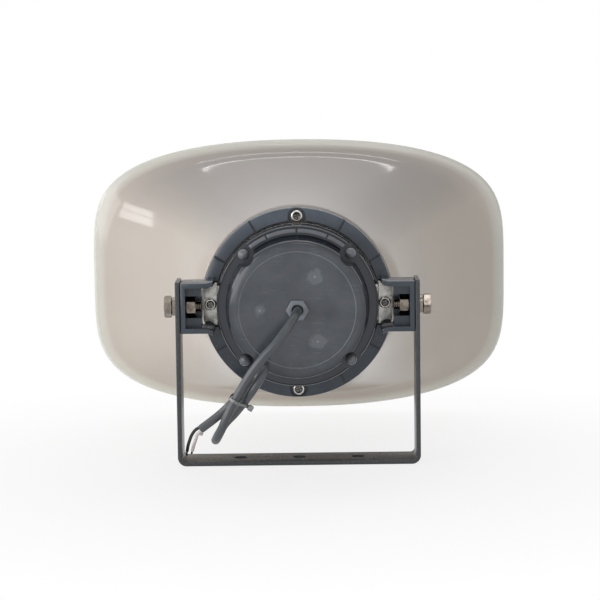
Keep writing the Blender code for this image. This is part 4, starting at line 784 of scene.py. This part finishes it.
class OBJECT_OT_horn_chassis(bpy.types.Operator):
    """Builds the bare cast plate whose ears show inside the lugs"""

    bl_idname = "object.horn_chassis"
    bl_label = "Driver chassis"
    bl_options = {"REGISTER", "UNDO"}

    def execute(self, context):
        outline = [(12.5, 21.3), (22, 21.3), (23, 18.7), (38.5, 18.7), (38.5, 15.7), (46, 15.7), (46, 14.5),
                   (54.5, 14.5), (54.5, 22.9), (30, 22.9), (30, 26), (12.5, 26)]
        plate = spun([(r * MM, y * MM) for r, y in outline], 96)
        reach, half, tab_half = 64.6 * MM, 12 * MM, 4.1 * MM
        web_back = RING_FRONT - RING_WEB
        upper = [(reach, half), (59.6 * MM, half), (56.2 * MM, half + 2.6 * MM), (54.8 * MM, half + 2.6 * MM)]
        raised_outline = upper + [(x, -z) for x, z in reversed(upper)]
        tab_outline = arc((SCREW_CIRCLE, 0), tab_half, 270, 90, 20) + [(reach, tab_half), (reach, -tab_half)]
        cuts = []
        for side in (-1, 1):
            ear = block((side * 47 * MM, EAR_BACK + 1.3 * MM, -half), (side * reach, web_back - GAP, half))
            raised = slab([(side * x, z) for x, z in raised_outline], EAR_BACK, EAR_BACK + 2.3 * MM, 0.5 * MM)
            tab = slab([(side * x, z) for x, z in tab_outline], TAB_BACK, EAR_BACK + LAP, 0.35 * MM)
            for piece in (ear, raised, tab):
                plate = combined(plate, "UNION", piece)
            cuts.append(bar((side * SCREW_CIRCLE, EAR_BACK - 3 * MM, 0), (side * SCREW_CIRCLE, RING_FRONT, 0),
                            2.35 * MM))
        cuts += bars_round(COVER_SCREW_CIRCLE, CORNERS, 13 * MM, 24 * MM, 1.95 * MM, 16)
        plate = combined(plate, "DIFFERENCE", *cuts)
        show("Driver_chassis", plate, "cast_metal", 30)
        return {"FINISHED"}


FACE_STEP = 0.3 * MM
COVER_WALL = 2.5 * MM
COVER_SKIRT = 54.5 * MM
COVER_TURN = 3.4 * MM
DOME_R = 3.8 * MM
DOME_BASE = COVER_SHELF - 5 * MM


def cover_profile(inset):
    """Outline of the cover's outside, or of its hollow when inset by the wall, from the middle out."""
    back, shelf = COVER_BACK + inset, COVER_SHELF + inset
    face, drum, skirt = 39.5 * MM - inset / 2, 47.5 * MM - inset, COVER_SKIRT - inset
    turn = max(COVER_TURN - inset, 1.5 * MM)
    top = drum - 1.2 * MM
    edge = min(face, top - turn - GAP)
    points = [(0, back), (edge, back)]
    lip = []
    if inset == 0:
        points = [(0, back + FACE_STEP), (edge - 0.8 * MM, back + FACE_STEP), (edge - 0.5 * MM, back),
                  (edge, back)]
        rise = shelf - 0.7 * MM
        lip = [(skirt - 1.25 * MM, shelf), (skirt - 1.05 * MM, rise), (skirt - 0.4 * MM, rise)]
    fall = 0.9 * MM  # how far the flat rear drops to the turn
    points += [(top - turn + turn * math.sin(a), back + fall + turn - turn * math.cos(a))
               for a in (math.radians(d) for d in range(12, 91, 6))]
    points += [(drum - 0.3 * MM, shelf - 1.8 * MM), (drum, shelf - 0.9 * MM), (drum + 0.9 * MM, shelf)]
    return points + lip + [(skirt - 0.3 * MM, shelf - 0.5 * MM), (skirt, shelf + 0.2 * MM)]


def cover_domes():
    """Domed pillar ends that stand in the corner pockets over the cover's screws."""
    curve = [(DOME_R * math.cos(t), DOME_BASE - DOME_R * math.sin(t))
             for t in (math.radians(d) for d in range(10, 90, 10))]
    foot = COVER_SHELF + LAP
    profile = [(0, foot), (DOME_R, foot), (DOME_R, DOME_BASE), *curve, (0, DOME_BASE - DOME_R)]
    return [moved(spun(profile, 40), polar(COVER_SCREW_CIRCLE, a)) for a in CORNERS]


def cover_rim():
    """Raised pieces along the top of the cover's skirt, as start and end angles."""
    rim = 52.8 * MM
    inside, foot = rim - 2.9 * MM, COVER_SHELF + LAP / 2
    profile = [(inside, foot), (rim, foot), (rim, COVER_SHELF - 1.6 * MM),
               (rim - 0.3 * MM, COVER_SHELF - 2.4 * MM), (rim - 1.2 * MM, COVER_SHELF - 2.8 * MM),
               (inside, COVER_SHELF - 2.9 * MM)]
    spans = ((52, 66), (67.2, 89.2), (90.8, 112.8), (114, 128))
    return [rounded(spun(profile, 12, start, end - start), 0.25 * MM, 50) for start, end in spans]


class OBJECT_OT_horn_cover(bpy.types.Operator):
    """Builds the stepped rear cover with domed screw pillars, rim pieces and corner pockets"""

    bl_idname = "object.horn_cover"
    bl_label = "Rear cover"
    bl_options = {"REGISTER", "UNDO"}

    def execute(self, context):
        circle = COVER_SCREW_CIRCLE
        cover = spun([*cover_profile(0.0), (COVER_SKIRT, COVER_SEAT), (0, COVER_SEAT)], 144)
        pockets = bars_round(circle, CORNERS, COVER_BACK - LAP, COVER_SHELF, 7 * MM, 48)
        cover = combined(cover, "DIFFERENCE", *pockets)
        cover = combined(cover, "UNION", *cover_domes(), *cover_rim())
        below = COVER_SEAT + LAP
        hollow = spun([*cover_profile(COVER_WALL), (COVER_SKIRT - COVER_WALL, below), (0, below)], 96)
        backing = bars_round(circle, CORNERS, COVER_BACK, COVER_SHELF + COVER_WALL, 9.5 * MM)
        pillars = bars_round(circle, CORNERS, COVER_SHELF, COVER_SEAT + 2 * LAP, DOME_R, 24)
        hollow = combined(combined(hollow, "DIFFERENCE", *backing), "DIFFERENCE", *pillars)
        cover = combined(cover, "DIFFERENCE", hollow)
        holes = bars_round(circle, CORNERS, DOME_BASE + LAP, below, 1.9 * MM, 16)
        holes.append(bar((0, COVER_BACK - LAP, 0), (0, COVER_BACK + 4 * MM, 0), 4.9 * MM))
        show("Rear_cover", combined(cover, "DIFFERENCE", *holes), "cover_plastic", 30)
        return {"FINISHED"}


class OBJECT_OT_horn_grommet(bpy.types.Operator):
    """Builds the six-sided grommet that the cable leaves through"""

    bl_idname = "object.horn_grommet"
    bl_label = "Cable grommet"
    bl_options = {"REGISTER", "UNDO"}

    def execute(self, context):
        cable = sizes().cable_radius
        face = COVER_BACK - GAP
        low = face - 1.6 * MM
        nut = rounded(bar((0, low, 0), (0, face, 0), 13.4 * MM / math.sqrt(3), 6, phase=30), 0.4 * MM)
        behind = COVER_BACK + COVER_WALL + GAP
        inside, end = face - LAP / 2, behind + 1.4 * MM
        neck = spun([(0, inside), (4.6 * MM, inside), (4.6 * MM, behind), (6.4 * MM, behind), (5.8 * MM, end),
                     (0, end)], 32)
        bore = bar((0, face - 3 * MM, 0), (0, behind + 3 * MM, 0), cable + 2 * GAP, 40)
        mouth = bar((0, low - GAP, 0), (0, face - 0.6 * MM, 0), cable + 5 * GAP, 40, cable + GAP)
        grommet = combined(combined(combined(nut, "UNION", neck), "DIFFERENCE", bore), "DIFFERENCE", mouth)
        show("Cable_grommet", grommet, "dark_plastic", 28)
        return {"FINISHED"}


class OBJECT_OT_horn_bracket(bpy.types.Operator):
    """Builds the bent U-bracket with its fixing and tilt holes"""

    bl_idname = "object.horn_bracket"
    bl_label = "Bracket"
    bl_options = {"REGISTER", "UNDO"}

    def execute(self, context):
        s = sizes()
        half, stock = s.bracket_width / 2, s.bracket_stock
        inner = half - stock
        top = s.tilt_height + 18 * MM
        bend = stock + 3 * MM
        middle = half - bend
        outline = [(-half, top), *arc((-middle, bend), bend, 180, 270, 12),
                   *arc((middle, bend), bend, 270, 360, 12), (half, top),
                   (inner, top), *arc((middle, bend), bend - stock, 360, 270, 12),
                   *arc((-middle, bend), bend - stock, 270, 180, 12), (-inner, top)]
        bm = slab(outline, -s.bracket_depth / 2, s.bracket_depth / 2)
        corners = [e for e in bm.edges if all(v.co.z > top - GAP for v in e.verts)
                   and abs(e.verts[0].co.x - e.verts[1].co.x) > GAP]
        bmesh.ops.bevel(bm, geom=corners, offset=3 * MM, segments=8, profile=0.5, affect="EDGES",
                        material=-1)
        rounded(bm, 0.4 * MM, 40)
        holes = [bar((x * MM, 0, -LAP), (x * MM, 0, stock + LAP), 4.5 * MM, 48) for x in (-40, 0, 40)]
        holes += [bar((side * (inner - LAP), 0, s.tilt_height), (side * (half + LAP), 0, s.tilt_height),
                      BOLT_HOLE, 40) for side in (-1, 1)]
        show("Bracket", combined(bm, "DIFFERENCE", *holes), "bracket_paint", 30, "bracket")
        return {"FINISHED"}


def hexagon(start, end, phase):
    """Hexagonal head or nut along X with its corners turned off at both ends."""
    across = sizes().across_flats
    radius = across / math.sqrt(3)
    length = abs(end - start)
    lead = (radius - across / 2) * 0.6
    flat = across / 2 - GAP
    profile = [(0, 0), (flat, 0), (radius, lead), (radius, length - lead), (flat, length), (0, length)]
    limit = along_x(spun(profile, 48), start, 1 if end > start else -1)
    return combined(bar((start, 0, 0), (end, 0, 0), radius, 6, phase=phase), "INTERSECT", limit)


def threaded(start, end, radius, pitch):
    """A threaded rod along X: a row of thread crests between two plain ends."""
    length = abs(end - start)
    root = radius - pitch * 0.5
    outline = [(0, 0), (root, 0)]
    for i in range(int(length / pitch)):
        outline += [(radius, pitch * (i + 0.4)), (radius, pitch * (i + 0.6)), (root, pitch * (i + 1))]
    outline += [(root, length), (0, length)]
    return along_x(spun(outline, 40), start, 1 if end > start else -1)


class OBJECT_OT_horn_pivots(bpy.types.Operator):
    """Builds the tilt bolts with their spring washers and nuts"""

    bl_idname = "object.horn_pivots"
    bl_label = "Tilt bolts"
    bl_options = {"REGISTER", "UNDO"}

    def execute(self, context):
        outside = sizes().bracket_width / 2 + GAP
        washer, head_height, soft = 2.2 * MM, 5.3 * MM, 0.15 * MM
        washer_r = 6.3 * MM
        head = outside + washer + GAP
        tip = head - 20 * MM
        nut = lug_outer() - LUG_WALL - GAP
        bore = BOLT_HOLE
        for side, word, phase in ((-1, "left", 0), (1, "right", 30)):
            end = side * (head + head_height)
            bolt = hexagon(side * head, end, phase)
            dish = spun([(0, -LAP), (4.4 * MM, -LAP), (4.0 * MM, 0.35 * MM), (0, 0.35 * MM)], 40)
            bolt = combined(bolt, "DIFFERENCE", along_x(dish, end, -side))
            shank = threaded(side * tip, side * (head + LAP), 3.9 * MM, 1.25 * MM)
            show(f"Pivot_bolt_{word}", combined(bolt, "UNION", shank), "steel", 25)
            ring = spun([(bore, soft), (bore + soft, 0), (washer_r - soft, 0), (washer_r, soft),
                         (washer_r, washer - soft), (washer_r - soft, washer), (bore + soft, washer),
                         (bore, washer - soft)], 64)
            split = block((-2 * washer, -0.6 * MM, 0), (2 * washer, 0.6 * MM, 12 * MM))
            slant = Matrix.Rotation(0.5, 4, "Z")
            middle = Matrix.Translation((side * (outside + washer / 2), 0, 0))
            bmesh.ops.transform(split, verts=split.verts, matrix=middle @ slant)
            show(f"Spring_washer_{word}", combined(along_x(ring, side * outside, side), "DIFFERENCE", split),
                 "steel", 28)
            through = bar((side * (nut + LAP), 0, 0), (side * (nut - 8 * MM), 0, 0), bore, 40)
            body = hexagon(side * nut, side * (nut - 6.5 * MM), 0)
            show(f"Pivot_nut_{word}", combined(body, "DIFFERENCE", through), "steel", 25)
        return {"FINISHED"}


class OBJECT_OT_horn_screws(bpy.types.Operator):
    """Builds the four cross-recessed screws round the ring"""

    bl_idname = "object.horn_screws"
    bl_label = "Flange screws"
    bl_options = {"REGISTER", "UNDO"}

    def execute(self, context):
        radius, head = 4.0 * MM, 2.6 * MM
        in_ring, on_tab = RING_BACK + RECESS_DEPTH, TAB_BACK
        for word, degrees, seat in (("right", 0, on_tab), ("top", 90, in_ring), ("left", 180, on_tab),
                                    ("bottom", 270, in_ring)):
            top = seat - GAP - head
            dish = [(0, top + 0.9 * MM), (0.7 * MM, top + 0.88 * MM), (1.4 * MM, top + 0.8 * MM),
                    (1.9 * MM, top + 0.7 * MM), (2.4 * MM, top + 0.5 * MM)]
            crown = [(3.0 * MM + 1.0 * MM * math.sin(t), top + 1.0 * MM * (1 - math.cos(t)))
                     for t in (math.radians(d) for d in range(-30, 91, 12))]
            outline = dish + crown + [(radius, seat - GAP), (2 * MM, seat - GAP), (2 * MM, top + 20.8 * MM),
                                      (0.8 * MM, top + 22 * MM), (0, top + 22 * MM)]
            screw = spun(outline, 48)
            for turn in (0, 90):
                arm = block((-2.1 * MM, -1 * MM, -0.36 * MM), (2.1 * MM, 1.35 * MM, 0.36 * MM))
                floor = [v for v in arm.verts if v.co.y > 0]
                bmesh.ops.scale(arm, verts=floor, vec=(0.45, 1, 0.7))
                arm = moved(turned_by(arm, turn), (0, top + 0.9 * MM, 0))
                screw = combined(screw, "DIFFERENCE", arm)
            centre = polar(SCREW_CIRCLE, degrees)
            obj = show(f"Flange_screw_{word}", moved(turned_by(screw, 20), centre), "zinc", 30)
            axis = centre + Vector((0, 0, sizes().tilt_height))
            # Painted shade darkens the recess's arms, and a little less its middle
            recess_shade_level = obj.data.attributes.new("recess_shade_level", "FLOAT", "POINT")
            for vert, level in zip(obj.data.vertices, recess_shade_level.data):
                out = math.hypot(vert.co.x - axis.x, vert.co.z - axis.z)
                if out < 2.7 * MM and vert.co.y < seat:
                    level.value = 0.8 if out < 1.5 * MM and vert.co.y < top + 1 * MM else 0.95
        return {"FINISHED"}


class OBJECT_OT_horn_reflector(bpy.types.Operator):
    """Builds the smooth reflector cup in the bell's mouth"""

    bl_idname = "object.horn_reflector"
    bl_label = "Reflector"
    bl_options = {"REGISTER", "UNDO"}

    def execute(self, context):
        wall, soft = 2.5 * MM, 0.5 * MM
        rim_r, rim, nose_r, shoulder, front = 42.5 * MM, 52 * MM, 34 * MM, 142 * MM, 168 * MM

        def nose(radius, depth):
            return [(radius * math.cos(a), shoulder + depth * math.sin(a))
                    for a in (math.radians(d) for d in range(0, 90, 6))]

        outside = [(rim_r - soft, rim), (rim_r, rim + soft), *nose(nose_r, front - shoulder), (0, front)]
        inside = [(rim_r - wall + soft, rim), (rim_r - wall, rim + soft),
                  *nose(nose_r - wall, front - shoulder - wall), (0, front - wall)]
        show("Reflector", spun(outside + inside[::-1], 112), "bell_plastic", 40)
        return {"FINISHED"}


def tie_passes(points, centre, along, across):
    """Where the cable crosses the tie's plane, as places across it and in depth."""
    passes = []
    for a, b in zip(points, points[1:]):
        side_a, side_b = (a - centre).dot(along), (b - centre).dot(along)
        if side_a * side_b < 0:
            hit = a.lerp(b, side_a / (side_a - side_b))
            if (hit - centre).length < 20 * MM:
                passes.append(Vector(((hit - centre).dot(across), hit.y - centre.y)))
    return passes


class OBJECT_OT_horn_cable(bpy.types.Operator):
    """Builds the folded cable with its tie, its two cores and their bared ends"""

    bl_idname = "object.horn_cable"
    bl_label = "Cable"
    bl_options = {"REGISTER", "UNDO"}

    def execute(self, context):
        s = sizes()
        cable, length = show_tube("Cable", CABLE_ROUTE, s.cable_radius, "grey_sheath")
        tie = self.tie(smooth_points(CABLE_ROUTE, CABLE_STEP * MM, 0.0)[0], s.cable_radius)
        core = 1.1 * MM
        black, _ = show_tube("Core_black", BLACK_ROUTE, core, "black_core", 1.0)
        white, _ = show_tube("Core_white", WHITE_ROUTE, core, "white_core", 1.0)
        stub = bar(*[Vector(p) * MM for p in FILLER_ENDS], 1.3 * MM, 24)
        filler = show("Core_filler", rounded(stub, 0.25 * MM), "white_core")
        for word, route in (("black", BLACK_ROUTE), ("white", WHITE_ROUTE)):
            last, before = Vector(route[-1]) * MM, Vector(route[-2]) * MM
            way = (last - before).normalized()
            side = way.orthogonal().normalized()
            strands = []
            for k in range(7):
                turn = Matrix.Rotation(k * math.pi / 3, 3, way)
                out = turn @ side * (0.0 if k == 6 else 0.38 * MM)
                strands.append(bar(last + way * GAP + out, last + way * 4.3 * MM + out * 1.25, 0.2 * MM, 8))
            show(f"Tip_{word}", gathered(strands), "zinc")
        return {"FINISHED"}

    def tie(self, points, cable_radius):
        """Nylon band in a loop of even clearance round the passes, with its head on the right."""
        centre = Vector((-39.6, -47, -57.2)) * MM
        along = Vector((-0.53, 0, -0.848)).normalized()
        across = Vector((-along.z, 0, along.x))
        passes = tie_passes(points, centre, along, across)
        reach = cable_radius + 2 * GAP
        width, thickness = 1.9 * MM, 0.8 * MM

        def place(row, angle):
            offset, level = row
            direction = Vector((math.cos(angle), math.sin(angle)))
            flat = max(passes, key=lambda p: p.dot(direction)) + direction * offset
            return centre + across * flat.x + Vector((0, flat.y, 0)) + along * level * width / 2

        band = lofted(96, [(reach, -1), (reach + thickness, -1), (reach + thickness, 1), (reach, 1)], place)
        head = block((-1.7 * MM, -2.2 * MM, -1.7 * MM), (1.7 * MM, 2.2 * MM, 1.7 * MM), 0.4 * MM)
        turn = Matrix((across, Vector((0, 1, 0)), along)).transposed().to_4x4()
        depth = sum(p.y for p in passes) / len(passes)
        right = max(p.x for p in passes)
        beside = centre + across * (right + reach + 2.4 * MM) + Vector((0, depth, 0))
        bmesh.ops.transform(head, verts=head.verts, matrix=Matrix.Translation(beside) @ turn)
        return show("Cable_tie", combined(band, "UNION", head), "tie_nylon", 30)


class OBJECT_OT_horn_inner_finishes(bpy.types.Operator):
    """Gives the pieces that stay as modelled their finishes"""

    bl_idname = "object.horn_inner_finishes"
    bl_label = "Inner finishes"
    bl_options = {"REGISTER", "UNDO"}

    def execute(self, context):
        slots = {entry["node"]: entry["material_slot"] for entry in frame["record"]["subparts"]}
        for name, node in frame["nodes"].items():
            if not node.hide_render:
                node.data.materials.clear()
                node.data.materials.append(finish(slots[name]))
        return {"FINISHED"}


LIGHT_OF_ROOM = 0.26  # the world's strength on the object, where 1 is white


class OBJECT_OT_horn_stage(bpy.types.Operator):
    """Builds the pale floor, white backdrop, lamps and camera"""

    bl_idname = "object.horn_stage"
    bl_label = "Stage"
    bl_options = {"REGISTER", "UNDO"}

    def execute(self, context):
        self.floor()
        self.world()
        lamps = (  # name, place and size in metres, power in watts, lights the object, is mirrored in it
            ("Key", (-2.5, -2.0, 0.1), (2.6, 2.0), 62, True, False),
            ("Window", (-2.2, -2.2, 0.6), (2.6, 2.0), 44, False, True),
            ("Rear", (0.3, -2.6, 0.3), (2.0, 1.6), 10, True, False),
            ("Fill", (1.9, -1.6, 0.6), (1.4, 1.4), 3.5, True, True),
            ("Top", (0.0, 1.4, 1.6), (2.4, 1.2), 11, True, False),
            ("Mouth", (0.4, 2.2, 0.6), (1.6, 1.2), 12, True, False),
            ("Side_upper", (-2.0, 0.0, 0.98), (1.0, 0.26), 3.6, True, True),
            ("Side_lower", (-2.0, 0.0, 0.68), (1.0, 0.26), 3.6, True, True),
            ("Strip_high", (0.0, 0.5, 1.9), (1.1, 0.06), 1.3, True, True),
            ("Strip_far", (0.0, 1.3, 1.75), (1.1, 0.06), 1.3, True, True),
            ("Glint", (0.3, -1.6, 2.4), (0.9, 0.3), 4.2, False, True),
        )
        aim = Vector((0, 0.05, 0.1))
        for name, place, size, power, lights, mirrored in lamps:
            data = bpy.data.lights.new(name, "AREA")
            data.shape = "RECTANGLE"
            data.size, data.size_y = size
            data.energy = power
            lamp = bpy.data.objects.new(name, data)
            lamp.location = place
            lamp.visible_camera = False
            lamp.visible_diffuse = lights
            lamp.visible_glossy = mirrored
            lamp.rotation_mode = "QUATERNION"
            lamp.rotation_quaternion = (aim - Vector(place)).to_track_quat("-Z", "Y")
            bpy.context.scene.collection.objects.link(lamp)
        self.camera()
        bpy.context.scene.view_settings.view_transform = "Standard"
        return {"FINISHED"}

    def seen(self, tree):
        """1 for what the camera, a reflection or clear plastic shows, and 0 for light on the object."""
        shown = add_node(tree, "ShaderNodeLightPath", output="Is Camera Ray")
        rays = shown.node.outputs
        for ray in ("Is Glossy Ray", "Is Transmission Ray"):
            shown = add_node(tree, "ShaderNodeMath", (shown, rays[ray]), operation="MAXIMUM")
        return shown

    def floor(self):
        """Matt pale floor that keeps the horn's shadow near the middle and is white further out."""
        bm = bmesh.new()
        bmesh.ops.create_grid(bm, x_segments=1, y_segments=1, size=6)
        floor = as_object(bm, "Floor")
        colour = bpy.context.scene.horn_colours.floor
        material, tree, shader, place = new_finish("Paper floor, pale", colour, 0.9)
        away = add_node(tree, "ShaderNodeVectorMath", (place,), "Value", operation="LENGTH")
        fade = add_node(tree, "ShaderNodeMapRange", (away, 0.1, 0.36, 0.8, 1.0))
        share = add_node(tree, "ShaderNodeMath", (self.seen(tree), fade), operation="MULTIPLY")
        white = add_node(tree, "ShaderNodeEmission", ("FFFFFF", 1.0))
        mixed = add_node(tree, "ShaderNodeMixShader", (share, shader.outputs[0], white))
        fill(tree, tree.nodes["Material Output"], {"Surface": mixed})
        floor.data.materials.append(material)

    def world(self):
        """White all round to look at, and a low even light on the object."""
        world = bpy.data.worlds.new("White room")
        bpy.context.scene.world = world
        world.use_nodes = True
        tree = world.node_tree
        strength = add_node(tree, "ShaderNodeMapRange", (self.seen(tree), 0.0, 1.0, LIGHT_OF_ROOM, 1.0))
        fill(tree, tree.nodes["Background"], {"Color": "FFFFFF", "Strength": strength})

    def camera(self):
        """Camera at the photograph's angle, from the fit of the bolts and the mouth."""
        pitch, yaw, roll = 0.11883, -0.0054, -0.0126
        ahead = Vector((math.sin(yaw) * math.cos(pitch), math.cos(yaw) * math.cos(pitch), -math.sin(pitch)))
        right = Vector((math.cos(yaw), -math.sin(yaw), 0))
        up = right.cross(ahead)
        right, up = (right * math.cos(roll) + up * math.sin(roll),
                     up * math.cos(roll) - right * math.sin(roll))
        data = bpy.data.cameras.new("Camera")
        data.sensor_width = 36
        data.lens = 130.45
        camera = bpy.data.objects.new("Camera", data)
        camera.matrix_world = Matrix((right, up, -ahead)).transposed().to_4x4()
        camera.location = (9.524 * MM, -1458.29 * MM, 177.61 * MM + sizes().tilt_height)
        bpy.context.scene.collection.objects.link(camera)
        bpy.context.scene.camera = camera


PIECES = (
    OBJECT_OT_horn_bell, OBJECT_OT_horn_ring, OBJECT_OT_horn_chassis, OBJECT_OT_horn_cover,
    OBJECT_OT_horn_grommet, OBJECT_OT_horn_bracket, OBJECT_OT_horn_pivots, OBJECT_OT_horn_screws,
    OBJECT_OT_horn_reflector, OBJECT_OT_horn_cable, OBJECT_OT_horn_inner_finishes, OBJECT_OT_horn_stage,
)


class VIEW3D_PT_horn(bpy.types.Panel):
    """Lists the horn's pieces, sizes and colours"""

    bl_label = "Horn loudspeaker"
    bl_idname = "VIEW3D_PT_horn"
    bl_space_type = "VIEW_3D"
    bl_region_type = "UI"
    bl_category = "Horn"

    def draw(self, context):
        for group in (context.scene.horn_sizes, context.scene.horn_colours):
            for key in group.bl_rna.properties.keys():
                if key not in ("rna_type", "name"):
                    self.layout.prop(group, key)
        for piece in PIECES:
            self.layout.operator(piece.bl_idname)


CLASSES = (HornSizes, HornColours, *PIECES, VIEW3D_PT_horn)


def register():
    for cls in CLASSES:
        bpy.utils.register_class(cls)
    bpy.types.Scene.horn_sizes = bpy.props.PointerProperty(type=HornSizes)
    bpy.types.Scene.horn_colours = bpy.props.PointerProperty(type=HornColours)


def unregister():
    del bpy.types.Scene.horn_colours
    del bpy.types.Scene.horn_sizes
    for cls in reversed(CLASSES):
        bpy.utils.unregister_class(cls)


def main():
    register()
    for obj in list(bpy.data.objects):
        if obj.type in ("LIGHT", "CAMERA"):
            bpy.data.objects.remove(obj)
    for piece in PIECES:
        group, name = piece.bl_idname.split(".")
        getattr(getattr(bpy.ops, group), name)()


if __name__ == "__main__":
    main()
